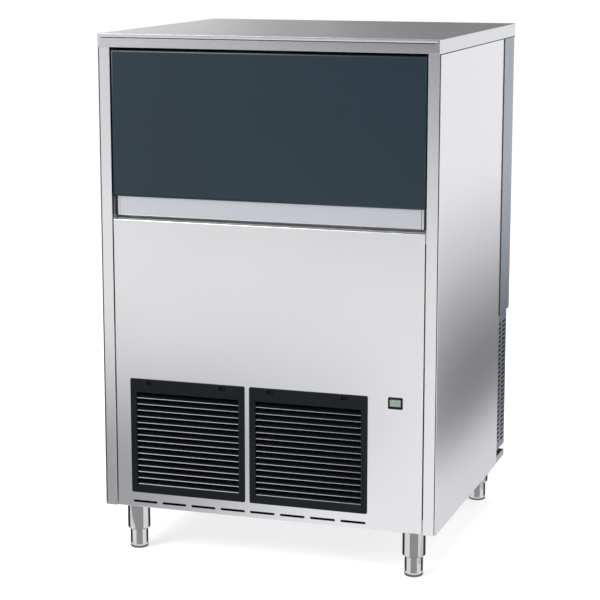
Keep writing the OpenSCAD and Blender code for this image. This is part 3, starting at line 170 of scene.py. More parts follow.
plain_white = add_node(tree, "ShaderNodeEmission", Strength=FLOOR_IN_STEEL)
choose = tree.nodes.new("ShaderNodeMixShader")
tree.links.new(mirrored, choose.inputs[0])
tree.links.new(floor_bsdf.outputs[0], choose.inputs[1])
tree.links.new(plain_white.outputs[0], choose.inputs[2])
tree.links.new(choose.outputs[0], tree.nodes["Material Output"].inputs["Surface"])
floor_mesh.materials.append(floor_white)
floor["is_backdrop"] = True
print("floor", FLOOR_SIZE, "m wide")

# %% [markdown]
# ## Lamps and grey cards
# Flat steel shows what stands round it more than the light that falls on it. A photographer shapes it
# with grey cards outside the picture: one on each side darkens the middle of a side panel, two on the
# floor darken the left foot of the front and the foot of the side, one far in front greys the lip and
# the door, one behind greys the right half of the top, and one overhead draws a dark line along the folds.
# Small screens and discs stand round the legs. The cards only show in reflections.
# The lamps are wide soft boxes at a plain level.


# %% Lamps
def soft_box(name, place, aim, size, power):
    lamp = bpy.data.lights.new(name, "AREA")
    lamp.shape = "SQUARE"
    lamp.size = size
    lamp.energy = power
    box = bpy.data.objects.new(name, lamp)
    bpy.context.scene.collection.objects.link(box)
    box.location = place
    box.rotation_euler = (Vector(aim) - Vector(place)).to_track_quat("-Z", "Y").to_euler()
    return box


soft_box("key_box", (-2.2, -3.4, 3.2), (0, 0, 0.6), 2.2, 135)
soft_box("fill_box", (3.0, -1.6, 2.4), (0, 0, 0.6), 2.0, 40)
top_box = soft_box("top_box", (0.2, 0.3, 3.6), (0, 0, 0.9), 2.4, 60)
top_box.visible_glossy = False
print("lamps:", [lamp.name for lamp in bpy.data.lights])


# %% Grey cards
CARD_BLUE = 1.02


def glow_material(name):
    """A material that only glows; returns it with its tree and the glow node."""
    material = bpy.data.materials.new(name)
    material.use_nodes = True
    tree = material.node_tree
    tree.nodes.remove(tree.nodes["Principled BSDF"])
    glow = tree.nodes.new("ShaderNodeEmission")
    tree.links.new(glow.outputs[0], tree.nodes["Material Output"].inputs["Surface"])
    return material, tree, glow


def add_card(name, corners, faces, material):
    """A stage object that only mirrors can see."""
    mesh = bpy.data.meshes.new(name)
    mesh.from_pydata(corners, [], faces)
    mesh.materials.append(material)
    card = bpy.data.objects.new(name, mesh)
    bpy.context.scene.collection.objects.link(card)
    card.visible_camera = card.visible_diffuse = card.visible_shadow = False
    card.visible_transmission = False
    card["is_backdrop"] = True


def grey_card(name, corners, tones, axis, fade=None):
    """A flat card whose tone runs along one axis; tones is a list of (metres, grey).
    fade is (axis, start, end): from start to end the card turns into the white of the floor."""
    material, tree, glow = glow_material(name)
    where = tree.nodes.new("ShaderNodeTexCoord")
    split = tree.nodes.new("ShaderNodeSeparateXYZ")
    tree.links.new(where.outputs["Object"], split.inputs[0])
    first, last = tones[0][0], tones[-1][0]
    along = add_node(tree, "ShaderNodeMapRange", From_Min=first, From_Max=last)
    tree.links.new(split.outputs[axis], along.inputs["Value"])
    ramp = tree.nodes.new("ShaderNodeValToRGB")
    ramp.color_ramp.interpolation = "EASE"
    stops = ramp.color_ramp.elements
    while len(stops) < len(tones):
        stops.new(0.5)
    for stop, (metres, grey) in zip(stops, tones):
        stop.position = (metres - first) / (last - first)
        stop.color = (grey, grey, grey * CARD_BLUE, 1)
    tree.links.new(along.outputs["Result"], ramp.inputs["Fac"])
    colour = ramp.outputs["Color"]
    if fade:
        away = add_node(tree, "ShaderNodeMapRange", From_Min=fade[1], From_Max=fade[2])
        away.interpolation_type = "SMOOTHSTEP"
        tree.links.new(split.outputs[fade[0]], away.inputs["Value"])
        blend = tree.nodes.new("ShaderNodeMix")
        blend.data_type = "RGBA"
        blend.inputs["B"].default_value = (FLOOR_IN_STEEL, FLOOR_IN_STEEL, FLOOR_IN_STEEL, 1)
        tree.links.new(away.outputs["Result"], blend.inputs["Factor"])
        tree.links.new(colour, blend.inputs["A"])
        colour = blend.outputs["Result"]
    tree.links.new(colour, glow.inputs["Color"])
    add_card(name, corners, [tuple(range(len(corners)))], material)


grey_card(
    "side_card",
    [(0.6, 0.2, 0.0), (0.6, 2.6, 0.0), (0.6, 2.6, 1.2), (0.6, 0.2, 1.2)],
    [(0.0, 0.31), (0.06, 0.15), (0.15, 0.12), (0.26, 0.26), (0.38, 0.48), (0.53, 0.76), (0.7, 1.0)],
    "Z",
)
grey_card(
    "side_floor_card",
    [(0.38, -0.34, 0.012), (0.6, -0.34, 0.012), (0.6, 2.6, 0.012), (0.38, 2.6, 0.012)],
    [(0.38, 0.78), (0.6, 0.88)],
    "X",
)
grey_card(
    "left_card",
    [(-0.75, -0.2, 0.0), (-0.75, 2.6, 0.0), (-0.75, 2.6, 1.2), (-0.75, -0.2, 1.2)],
    [(0.0, 0.4), (0.15, 0.2), (0.4, 0.5), (0.8, 1.0)],
    "Z",
)
grey_card(
    "floor_card",
    [(-2.6, -2.6, 0.01), (0.1, -2.6, 0.01), (0.1, -0.45, 0.01), (-2.6, -0.45, 0.01)],
    [(-0.8, 0.36), (-0.5, 0.42), (0.1, FLOOR_IN_STEEL)],
    "X",
    fade=("Y", -1.0, -2.6),
)
grey_card(
    "front_card",
    [(-9.0, -8.5, 0.0), (3.0, -8.5, 0.0), (3.0, -8.5, 3.0), (-9.0, -8.5, 3.0)],
    [(-4.4, 0.85), (-3.0, 0.45), (-1.9, 0.15)],
    "X",
)
grey_card(
    "back_card",
    [(-2.4, 2.6, 1.14), (3.0, 2.6, 1.14), (3.0, 2.6, 2.4), (-2.4, 2.6, 2.4)],
    [(-2.0, 1.0), (-1.4, 0.68), (-0.9, 0.37), (-0.4, 0.23)],
    "X",
)
grey_card(
    "over_card",
    [(-2.5, -2.0, 3.0), (2.5, -2.0, 3.0), (2.5, 2.0, 3.0), (-2.5, 2.0, 3.0)],
    [(-2.0, 0.22), (2.0, 0.3)],
    "Y",
)

# %% Screens round the legs
LEG_X, LEG_Y = 0.311, (-0.295, 0.287)
SCREEN_OUT, SCREEN_HIGH, SCREEN_STEPS = 0.052, 0.1, 8
DISC_OUT, DISC_HIGH, DISC_STEPS = 0.034, 0.003, 16


def plain_card(name, corners, faces, grey):
    """A card in one grey, because things round a leg are too small for a gradient."""
    material, tree, glow = glow_material(name)
    glow.inputs["Color"].default_value = (grey, grey, grey, 1)
    add_card(name, corners, faces, material)


def leg_screen(name, turn, half_angle, grey):
    """One low curved screen beside each leg, turned from the line that runs to the camera."""
    corners, faces = [], []
    for x in (-LEG_X, LEG_X):
        for y in LEG_Y:
            to_camera = math.atan2(camera.location.y - y, camera.location.x - x)
            for k in range(SCREEN_STEPS + 1):
                angle = to_camera + turn + half_angle * (2 * k / SCREEN_STEPS - 1)
                place = (x + SCREEN_OUT * math.cos(angle), y + SCREEN_OUT * math.sin(angle))
                corners += [(*place, 0.0), (*place, SCREEN_HIGH)]
                if k:
                    n = len(corners)
                    faces.append((n - 4, n - 2, n - 1, n - 3))
    plain_card(name, corners, faces, grey)


def leg_disc(name, grey):
    """A disc on the floor round each leg, which darkens the lower edge of the foot."""
    corners, faces = [], []
    turns = [math.tau * k / DISC_STEPS for k in range(DISC_STEPS)]
    for x in (-LEG_X, LEG_X):
        for y in LEG_Y:
            start = len(corners)
            corners += [(x + DISC_OUT * math.cos(t), y + DISC_OUT * math.sin(t), DISC_HIGH) for t in turns]
            faces.append(tuple(range(start, len(corners))))
    plain_card(name, corners, faces, grey)


leg_disc("leg_disc_card", 0.2)
leg_screen("leg_centre_card", 0.0, math.radians(32), 0.42)
leg_screen("leg_left_card", math.radians(-102), math.radians(22), 0.06)
leg_screen("leg_right_card", math.radians(102), math.radians(22), 0.06)

# %% [markdown]
# ## Effects that several finishes share
# Rolled and brushed steel has fine streaks along one direction, moulded plastic a fine pebbled skin,
# and every sheet some broad cloudiness from rolling and wiping. Each of these is a node group that
# turns a position into a value. The finish decides how it is stretched and how strongly it is used.


# %% Shared node groups
SKIN_INPUTS = [
    ("Vector", "NodeSocketVector", None),
    ("Scale", "NodeSocketFloat", 1.0),
    ("Low", "NodeSocketFloat", 0.0),
    ("High", "NodeSocketFloat", 1.0),
]
PEBBLE_SMOOTHNESS = 0.6


def new_group(name):
    """An empty group that takes a position, a scale and a range, and gives a value and a height."""
    group = bpy.data.node_groups.new(name, "ShaderNodeTree")
    for label, kind, value in SKIN_INPUTS:
        socket = group.interface.new_socket(label, in_out="INPUT", socket_type=kind)
        if value is not None:
            socket.default_value = value
    for label in ("Value", "Height"):
        group.interface.new_socket(label, in_out="OUTPUT", socket_type="NodeSocketFloat")
    return group


def join_up(group, texture, pattern):
    """Feeds the group's inputs to its texture, and the texture's pattern to the group's outputs."""
    inside, out = group.nodes.new("NodeGroupInput"), group.nodes.new("NodeGroupOutput")
    spread = group.nodes.new("ShaderNodeMapRange")
    for source, target in (
        (inside.outputs["Vector"], texture.inputs["Vector"]),
        (inside.outputs["Scale"], texture.inputs["Scale"]),
        (texture.outputs[pattern], spread.inputs["Value"]),
        (inside.outputs["Low"], spread.inputs["To Min"]),
        (inside.outputs["High"], spread.inputs["To Max"]),
        (spread.outputs["Result"], out.inputs["Value"]),
        (texture.outputs[pattern], out.inputs["Height"]),
    ):
        group.links.new(source, target)
    return group


def build_noise_group(name, detail, roughness):
    group = new_group(name)
    noise = add_node(group, "ShaderNodeTexNoise", Detail=detail, Roughness=roughness)
    return join_up(group, noise, "Fac")


def build_pebble_group():
    group = new_group("moulded_skin")
    cells = group.nodes.new("ShaderNodeTexVoronoi")
    cells.feature = "SMOOTH_F1"
    cells.inputs["Smoothness"].default_value = PEBBLE_SMOOTHNESS
    return join_up(group, cells, "Distance")


streaks = build_noise_group("brushed_streaks", 3.0, 0.6)
clouds = build_noise_group("wiped_clouds", 2.0, 0.5)
pebbles = build_pebble_group()
print("node groups:", [g.name for g in (streaks, clouds, pebbles)])

# %% [markdown]
# ## Finishes
# One function makes every finish from the same parts: a colour that varies a little with the clouds, a
# roughness that varies with the streaks or pebbles, and a shallow bump. Written out by hand, the finishes
# would still differ only in their numbers, so the numbers are all that is given.


# %% Finish builder
ALONG_X, ALONG_Z, EVEN = (0.02, 1, 1), (1, 1, 0.02), (1, 1, 1)
CLOUD_SHARE, SKIN_SHARE = 0.6, 0.4


def use_group(tree, group, vector, scale, low, high):
    node = tree.nodes.new("ShaderNodeGroup")
    node.node_tree = group
    tree.links.new(vector, node.inputs["Vector"])
    node.inputs["Scale"].default_value = scale
    node.inputs["Low"].default_value = low
    node.inputs["High"].default_value = high
    return node


def finish(name, dark, light, rough, skin=streaks, grain=EVEN, skin_scale=900.0, cloud_scale=5.0,
           bump=0.05, depth=0.0002, metal=0.0, specular=0.5, coat=0.0):
    """A finish: two tones, a range of roughness, and a skin that is stretched along its grain."""
    material = bpy.data.materials.new(name)
    material.use_nodes = True
    tree = material.node_tree
    bsdf = tree.nodes["Principled BSDF"]
    where = tree.nodes.new("ShaderNodeTexCoord").outputs["Object"]
    stretch = tree.nodes.new("ShaderNodeMapping")
    stretch.inputs["Scale"].default_value = grain
    tree.links.new(where, stretch.inputs["Vector"])
    fine = use_group(tree, skin, stretch.outputs["Vector"], skin_scale, rough[0], rough[1])
    broad = use_group(tree, clouds, where, cloud_scale, 0.0, 1.0)
    tone = add_math(tree, "ADD", add_math(tree, "MULTIPLY", broad.outputs["Value"], CLOUD_SHARE),
                    add_math(tree, "MULTIPLY", fine.outputs["Height"], SKIN_SHARE))
    mix = tree.nodes.new("ShaderNodeMix")
    mix.data_type = "RGBA"
    mix.inputs["A"].default_value = (*dark, 1)
    mix.inputs["B"].default_value = (*light, 1)
    tree.links.new(tone, mix.inputs["Factor"])
    tree.links.new(mix.outputs["Result"], bsdf.inputs["Base Color"])
    tree.links.new(fine.outputs["Value"], bsdf.inputs["Roughness"])
    relief = add_node(tree, "ShaderNodeBump", Strength=bump, Distance=depth)
    tree.links.new(fine.outputs["Height"], relief.inputs["Height"])
    tree.links.new(relief.outputs["Normal"], bsdf.inputs["Normal"])
    bsdf.inputs["Metallic"].default_value = metal
    bsdf.inputs["Specular IOR Level"].default_value = specular
    bsdf.inputs["Coat Weight"].default_value = coat
    return material


# %% Steel and other metals
steel_upright = finish("stainless_upright", (0.70, 0.70, 0.72), (0.78, 0.78, 0.80), (0.20, 0.27),
                       grain=ALONG_Z, skin_scale=2600.0, metal=1.0, bump=0.02)
# Painted shade: the top's steel is a darker copy of the upright steel.
steel_level_shaded = finish("stainless_level_shaded", (0.61, 0.61, 0.63), (0.69, 0.69, 0.71), (0.20, 0.27),
                     grain=ALONG_X, skin_scale=2600.0, metal=1.0, bump=0.02)
# Painted shade: the rear sheet has a dark bluish tone for the shade on the side that faces away from the
# lamps.
steel_rear_shaded = finish("rear_sheet_shaded", (0.25, 0.29, 0.335), (0.32, 0.365, 0.415), (0.3, 0.42),
                    grain=ALONG_Z, metal=1.0, bump=0.05)
steel_galvanised = finish("galvanised_sheet", (0.45, 0.46, 0.47), (0.68, 0.69, 0.70), (0.3, 0.55),
                          skin=pebbles, skin_scale=90.0, cloud_scale=25.0, metal=1.0, bump=0.06, depth=0.0005)
steel_polished = finish("polished_steel", (0.54, 0.54, 0.55), (0.66, 0.66, 0.67), (0.08, 0.16),
                        grain=ALONG_Z, metal=1.0, bump=0.03)
steel_bright = finish("freezing_steel", (0.66, 0.67, 0.69), (0.78, 0.79, 0.81), (0.16, 0.28),
                      grain=ALONG_Z, metal=1.0, bump=0.03)
steel_pin = finish("pin_steel", (0.55, 0.55, 0.56), (0.7, 0.7, 0.71), (0.2, 0.35),
                   grain=ALONG_X, metal=1.0)
strip_satin = finish("strip_aluminium", (0.58, 0.60, 0.64), (0.66, 0.68, 0.72), (0.28, 0.40),
                     grain=ALONG_X, metal=1.0, bump=0.05)
fin_metal = finish("fin_aluminium", (0.62, 0.63, 0.65), (0.76, 0.77, 0.79), (0.3, 0.45),
                   grain=ALONG_Z, metal=1.0)
copper_tube = finish("copper", (0.62, 0.27, 0.15), (0.80, 0.42, 0.27), (0.2, 0.4),
                     skin=clouds, skin_scale=60.0, cloud_scale=14.0, metal=1.0)
brass_cast = finish("brass", (0.55, 0.38, 0.13), (0.76, 0.56, 0.24), (0.2, 0.38),
                    skin=clouds, skin_scale=80.0, cloud_scale=20.0, metal=1.0)
print("first metal:", steel_upright.name, "last metal:", brass_cast.name)

# %% Plastics, foams and paints
door_slate = finish("slate_plastic", (0.002, 0.014, 0.024), (0.005, 0.022, 0.036), (0.26, 0.38),
                    skin=pebbles, skin_scale=900.0, cloud_scale=4.0, bump=0.15, depth=0.0002, specular=0.45)
grille_black = finish("black_plastic", (0.003, 0.005, 0.007), (0.006, 0.009, 0.012), (0.32, 0.46),
                      skin=pebbles, skin_scale=1100.0, cloud_scale=9.0, bump=0.10, specular=0.16)
blade_black = finish("black_blade", (0.003, 0.004, 0.006), (0.006, 0.008, 0.010), (0.10, 0.18),
                     skin=pebbles, skin_scale=1100.0, cloud_scale=9.0, bump=0.01, specular=0.8)
rocker_glow = finish("rocker_green", (0.22, 0.29, 0.24), (0.33, 0.40, 0.34), (0.22, 0.34),
                     skin=clouds, skin_scale=120.0, cloud_scale=60.0, bump=0.02)
liner_white = finish("white_plastic", (0.74, 0.75, 0.75), (0.82, 0.82, 0.81), (0.32, 0.48),
                     skin=pebbles, skin_scale=700.0, bump=0.08)
board_foam = finish("insulation_foam", (0.70, 0.66, 0.52), (0.80, 0.76, 0.62), (0.8, 0.95),
                    skin=pebbles, skin_scale=400.0, bump=0.3, depth=0.0008, specular=0.2)
filter_grey = finish("filter_foam", (0.02, 0.021, 0.022), (0.05, 0.052, 0.055), (0.85, 0.98),
                     skin=pebbles, skin_scale=500.0, bump=0.6, depth=0.001, specular=0.1)
seal_rubber = finish("rubber", (0.012, 0.012, 0.013), (0.03, 0.03, 0.032), (0.55, 0.75),
                     skin=pebbles, skin_scale=600.0, bump=0.1, specular=0.3)
paint_grey = finish("motor_paint", (0.20, 0.22, 0.24), (0.27, 0.29, 0.31), (0.35, 0.5),
                    skin=pebbles, skin_scale=350.0, bump=0.12, coat=0.2)
paint_black = finish("black_paint", (0.012, 0.012, 0.013), (0.024, 0.024, 0.026), (0.25, 0.4),
                     skin=pebbles, skin_scale=300.0, bump=0.12, coat=0.3)
hose_clear = finish("clear_hose", (0.62, 0.66, 0.66), (0.72, 0.75, 0.75), (0.2, 0.32),
                    skin=clouds, skin_scale=40.0, bump=0.02)
hose_clear.node_tree.nodes["Principled BSDF"].inputs["Transmission Weight"].default_value = 0.4
print("finishes:", len([m for m in bpy.data.materials if m.users == 0]))

# %% [markdown]
# ## Finishes on the solids
# Most pieces inside the machine are right as they are and only need a finish. The record names a
# material slot for every solid, so one table from slot to finish dresses them all. Only the top is
# brushed along its length, so its grain runs level and not upright. Its steel is also a darker copy of
# the upright steel, as painted shade on the top.

# %% Dress the carried solids
FINISH_OF_SLOT = {
    "stainless_sheet": steel_upright, "rear_steel": steel_rear_shaded, "galvanised_steel": steel_galvanised,
    "polished_steel": steel_polished, "freezing_steel": steel_bright, "slate_plastic": door_slate,
    "strip_aluminium": strip_satin, "pin_steel": steel_pin, "black_plastic": grille_black,
    "rocker_green": rocker_glow, "filter_foam": filter_grey, "white_plastic": liner_white,
    "insulation_foam": board_foam, "rubber": seal_rubber, "copper": copper_tube, "brass": brass_cast,
    "motor_paint": paint_grey, "black_paint": paint_black, "fin_aluminium": fin_metal,
    "clear_hose": hose_clear,
}
slot_of_node = {p["node"]: p["material_slot"] for p in frame["record"]["subparts"]}
for name, solid in nodes.items():
    solid.data.materials.clear()
    solid.data.materials.append(FINISH_OF_SLOT[slot_of_node[name]])
nodes["top_panel"].data.materials[0] = steel_level_shaded
print("dressed", len(slot_of_node), "solids in", len(FINISH_OF_SLOT), "finishes")

# %% [markdown]
# ## Folded sheet
# The cabinet is folded from 1.2 mm stainless sheet, and a press brake leaves a small radius on every
# fold. The solids have sharp folds. A Bevel modifier would also round the thin cut edges, so the fold
# edges are picked: convex edges between two faces that are both wider than the sheet is thick.
# Weighted normals then keep the wide flats flat, and only the fold catches the light.


# %% Helpers for rounded copies of a solid
SHEET, WELD = 1.2 * MM, 0.004 * MM
FLAT_ANGLE, SHARP_ANGLE = math.radians(0.6), math.radians(50)


def clean_copy(node):
    """A solid's mesh with its loose triangles merged and its flats made whole."""
    bm = bmesh.new()
    bm.from_mesh(nodes[node].data)
    bmesh.ops.remove_doubles(bm, verts=bm.verts, dist=WELD)
    bmesh.ops.dissolve_limit(bm, angle_limit=FLAT_ANGLE, verts=bm.verts, edges=bm.edges)
    return bm


def is_corner(edge, least=40.0):
    return len(edge.link_faces) == 2 and edge.is_convex and edge.calc_face_angle(0) > math.radians(least)


def is_fold(edge):
    """A convex edge between two faces that are both wider than the sheet's cut edge."""
    return is_corner(edge) and all(f.calc_area() > 2.5 * SHEET * edge.calc_length() for f in edge.link_faces)


def round_edges(bm, radius, steps, wanted):
    edges = [e for e in bm.edges if wanted(e)]
    if edges:
        bmesh.ops.bevel(bm, geom=edges, offset=radius, offset_type="OFFSET", segments=steps,
                        profile=0.5, affect="EDGES", clamp_overlap=True)
    return len(edges)


def add_box(bm, low, high):
    """A box between two corners, added to a mesh; returns its new faces."""
    corners = [bm.verts.new((x, y, z))
               for x in (low[0], high[0]) for y in (low[1], high[1]) for z in (low[2], high[2])]
    sides = ((0, 1, 3, 2), (4, 6, 7, 5), (0, 4, 5, 1), (2, 3, 7, 6), (0, 2, 6, 4), (1, 5, 7, 3))
    return [bm.faces.new([corners[i] for i in side]) for side in sides]


def mesh_of(name, bm):
    mesh = bpy.data.meshes.new(name)
    bm.to_mesh(mesh)
    bm.free()
    return mesh


def linked_object(name, mesh):
    made = bpy.data.objects.new(name, mesh)
    bpy.context.scene.collection.objects.link(made)
    return made


def discard(made):
    """Removes an object that only helped to make another, with its mesh."""
    mesh = made.data
    bpy.data.objects.remove(made)
    bpy.data.meshes.remove(mesh)


def plain_result(made):
    """What an object's modifiers make of it, as a bmesh; the object itself is removed."""
    plain = bpy.data.meshes.new_from_object(made.evaluated_get(bpy.context.evaluated_depsgraph_get()))
    result = bmesh.new()
    result.from_mesh(plain)
    bpy.data.meshes.remove(plain)
    discard(made)
    return result


def cut_away(bm, cutter):
    """Cuts one mesh out of another with a Boolean modifier."""
    whole = linked_object("whole", mesh_of("whole", bm))
    knife = linked_object("knife", mesh_of("knife", cutter))
    cut = whole.modifiers.new("cut", "BOOLEAN")
    cut.operation, cut.solver, cut.object = "DIFFERENCE", "EXACT", knife
    result = plain_result(whole)
    discard(knife)
    return result


def add_piece(name, bm, finish_used, *stands_for, body=None, slot=None):
    """Makes the mesh an object of its own, smooth on its roundings, that stands for some solids."""
    bm.normal_update()
    mesh = mesh_of(name, bm)
    mesh.materials.append(finish_used)
    mesh.polygons.foreach_set("use_smooth", [True] * len(mesh.polygons))
    mesh.set_sharp_from_angle(angle=SHARP_ANGLE)
    made = linked_object(name, mesh)
    flats = made.modifiers.new("flats", "WEIGHTED_NORMAL")
    flats.keep_sharp = True
    if stands_for:
        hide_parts(*stands_for)
    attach(made, body or body_of_node[stands_for[0]])
    return made


# %% Cabinet sheets with rounded folds
low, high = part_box("top_panel")
GROOVE_END, GROOVE_MIDDLE, GROOVE_H, GROOVE_DEEP = 10 * MM, 7.9 * MM, 2.0 * MM, 0.6 * MM
groove_low = Vector((low.x + GROOVE_END, low.y, high.z - GROOVE_MIDDLE - GROOVE_H / 2))
groove_high = Vector((high.x - GROOVE_END, low.y + GROOVE_DEEP, high.z - GROOVE_MIDDLE + GROOVE_H / 2))
FOLDS = {  # solid: (finish, fold radius in mm, steps)
    "top_panel": (steel_level_shaded, 2.4, 4),
    "side_panel_left": (steel_upright, 2.0, 3),
    "side_panel_right": (steel_upright, 2.0, 3),
    "front_frame": (steel_upright, 1.6, 3),
    "front_panel": (steel_upright, 1.6, 3),
    "rear_cover": (steel_rear_shaded, 1.6, 3),
    "base_tray": (steel_galvanised, 1.5, 2),
}
for node, (sheet_finish, radius, steps) in FOLDS.items():
    folded = clean_copy(node)
    count = round_edges(folded, radius * MM, steps, is_fold)
    if node == "top_panel":
        groove = bmesh.new()
        add_box(groove, groove_low - Vector((0, 1 * MM, 0)), groove_high)
        bmesh.ops.recalc_face_normals(groove, faces=groove.faces)
        folded = cut_away(folded, groove)
    add_piece(node + "_folded", folded, sheet_finish, node)
    print(node, "folds:", count)

# %% [markdown]
# ## Copies made with Geometry Nodes
# A louvre is one blade repeated at an even pitch, and a row of screws is one head put on some places. Two
# small trees do it for all such things. Each puts a copy on every point, and the copies are then realized
# into plain mesh. An Array modifier would also do for the blades, but a tree shows its count, pitch and
# finish as named inputs.


# %% Trees that copy a mesh
def start_tree(name, *inputs):
    """A tree with named inputs; returns it with its input node."""
    tree = bpy.data.node_groups.new(name, "GeometryNodeTree")
    for label, kind in (("Geometry", "NodeSocketGeometry"), *inputs, ("Finish", "NodeSocketMaterial")):
        tree.interface.new_socket(label, in_out="INPUT", socket_type=kind)
    tree.interface.new_socket("Geometry", in_out="OUTPUT", socket_type="NodeSocketGeometry")
    return tree, tree.nodes.new("NodeGroupInput")


def copy_on_points(tree, inside, points, piece):
    """Puts a copy of the piece on every point, and makes the copies plain mesh in one finish."""
    spread = tree.nodes.new("GeometryNodeInstanceOnPoints")
    real = tree.nodes.new("GeometryNodeRealizeInstances")
    paint = tree.nodes.new("GeometryNodeSetMaterial")
    out = tree.nodes.new("NodeGroupOutput")
    for source, target in (
        (points, spread.inputs["Points"]),
        (piece, spread.inputs["Instance"]),
        (spread.outputs["Instances"], real.inputs["Geometry"]),
        (real.outputs["Geometry"], paint.inputs["Geometry"]),
        (inside.outputs["Finish"], paint.inputs["Material"]),
        (paint.outputs["Geometry"], out.inputs["Geometry"]),
    ):
        tree.links.new(source, target)
    return tree


def build_row_tree():
    """The object's own mesh, repeated along a line."""
    tree, inside = start_tree("row_of_copies", ("Count", "NodeSocketInt"), ("Pitch", "NodeSocketVector"))
    line = tree.nodes.new("GeometryNodeMeshLine")
    line.mode = "OFFSET"
    tree.links.new(inside.outputs["Count"], line.inputs["Count"])
    tree.links.new(inside.outputs["Pitch"], line.inputs["Offset"])
    return copy_on_points(tree, inside, line.outputs["Mesh"], inside.outputs["Geometry"])


def build_scatter_tree():
    """Another object's mesh, put on every point of the object's own."""
    tree, inside = start_tree("copy_on_places", ("Piece", "NodeSocketObject"))
    piece = tree.nodes.new("GeometryNodeObjectInfo")
    tree.links.new(inside.outputs["Piece"], piece.inputs["Object"])
    return copy_on_points(tree, inside, inside.outputs["Geometry"], piece.outputs["Geometry"])


row_tree, scatter_tree = build_row_tree(), build_scatter_tree()


def run_tree(made, tree, **values):
    """Runs a tree on an object with its inputs set by name, and returns the result as a bmesh."""
    copies = made.modifiers.new("copies", "NODES")
    copies.node_group = tree
    sockets = {s.name: s.identifier for s in tree.interface.items_tree if s.in_out == "INPUT"}
    for label, value in values.items():
        copies[sockets[label]] = value
    return plain_result(made)


print("trees:", row_tree.name, scatter_tree.name)

# %% [markdown]
# ## Louvred grilles
# Each grille is a black moulding with a plain rim and fifteen blades that rise towards the rear, so that
# no one sees in. The rim is a frame of eight quads pulled back to a box with a hole, which takes a
# rounding well. The blades are thin wedges made by the row tree. Each has a narrow face at its nose that
# leans back, and that face mirrors the lamp as a thin bright line. The two notches in the head are cut.

# %% Grilles
SLATS = 15
BAND, FOOT_BAND, HEAD_BAND = 14 * MM, 18 * MM, 30 * MM
RIM_CORNER, RIM_EDGE = 3.5 * MM, 1.0 * MM
NOTCH_W, NOTCH_H, NOTCH_DEEP, NOTCH_DOWN = 15 * MM, 8 * MM, 5 * MM, 4 * MM
NOTCH_LEFT, NOTCH_RIGHT = 39 * MM, 57 * MM
BLADE_BACK, BLADE_UP, BLADE_LAP, BLADE_THICK, BLADE_OPEN = 2 * MM, 0.6 * MM, 1 * MM, 2.9 * MM, 4.2 * MM
NOSE_LEAN, NOSE_IN, NOSE_DOWN = math.radians(29), 0.6 * MM, 0.3 * MM
PAST = 1 * MM


def build_rim(low, high, inner_low, inner_high):
    """A frame with a hole, from front to back; x and z steps give the hole."""
    xs, zs = (low[0], inner_low[0], inner_high[0], high[0]), (low[2], inner_low[1], inner_high[1], high[2])
    bm = bmesh.new()
    front, back = ([[bm.verts.new((x, y, z)) for z in zs] for x in xs] for y in (low[1], high[1]))
    for i in range(3):
        for k in range(3):
            if (i, k) == (1, 1):
                continue
            a, b, c, d = (i, k), (i + 1, k), (i + 1, k + 1), (i, k + 1)
            bm.faces.new([front[p][q] for p, q in (a, b, c, d)])
            bm.faces.new([back[p][q] for p, q in (d, c, b, a)])
    for ring in (
        [(0, 0), (1, 0), (2, 0), (3, 0), (3, 1), (3, 2), (3, 3), (2, 3), (1, 3), (0, 3), (0, 2), (0, 1)],
        [(1, 1), (1, 2), (2, 2), (2, 1)],
    ):
        for (p, q), (r, s) in zip(ring, ring[1:] + ring[:1]):
            bm.faces.new([front[r][s], front[p][q], back[p][q], back[r][s]])
    bmesh.ops.recalc_face_normals(bm, faces=bm.faces)
    return bm


def build_blade(x0, x1, y0, z0, depth, rise, thick, lean):
    """One louvre blade that rises towards the rear, with a nose that leans back by an angle."""
    back = thick * math.tan(lean)
    outline = [(y0 + back, z0 + thick), (y0, z0), (y0 + NOSE_IN, z0 - NOSE_DOWN),
               (y0 + depth, z0 + rise), (y0 + depth, z0 + rise + thick)]
    bm = bmesh.new()
    ends = [[bm.verts.new((x, y, z)) for y, z in outline] for x in (x0, x1)]
    count = len(outline)
    for k in range(count):
        bm.faces.new([ends[0][k], ends[0][(k + 1) % count], ends[1][(k + 1) % count], ends[1][k]])
    bm.faces.new(ends[0])
    bm.faces.new(list(reversed(ends[1])))
    bmesh.ops.recalc_face_normals(bm, faces=bm.faces)
    return bm


def is_front_edge(edge, y):
    return is_corner(edge) and all(abs(v.co.y - y) < WELD for v in edge.verts)


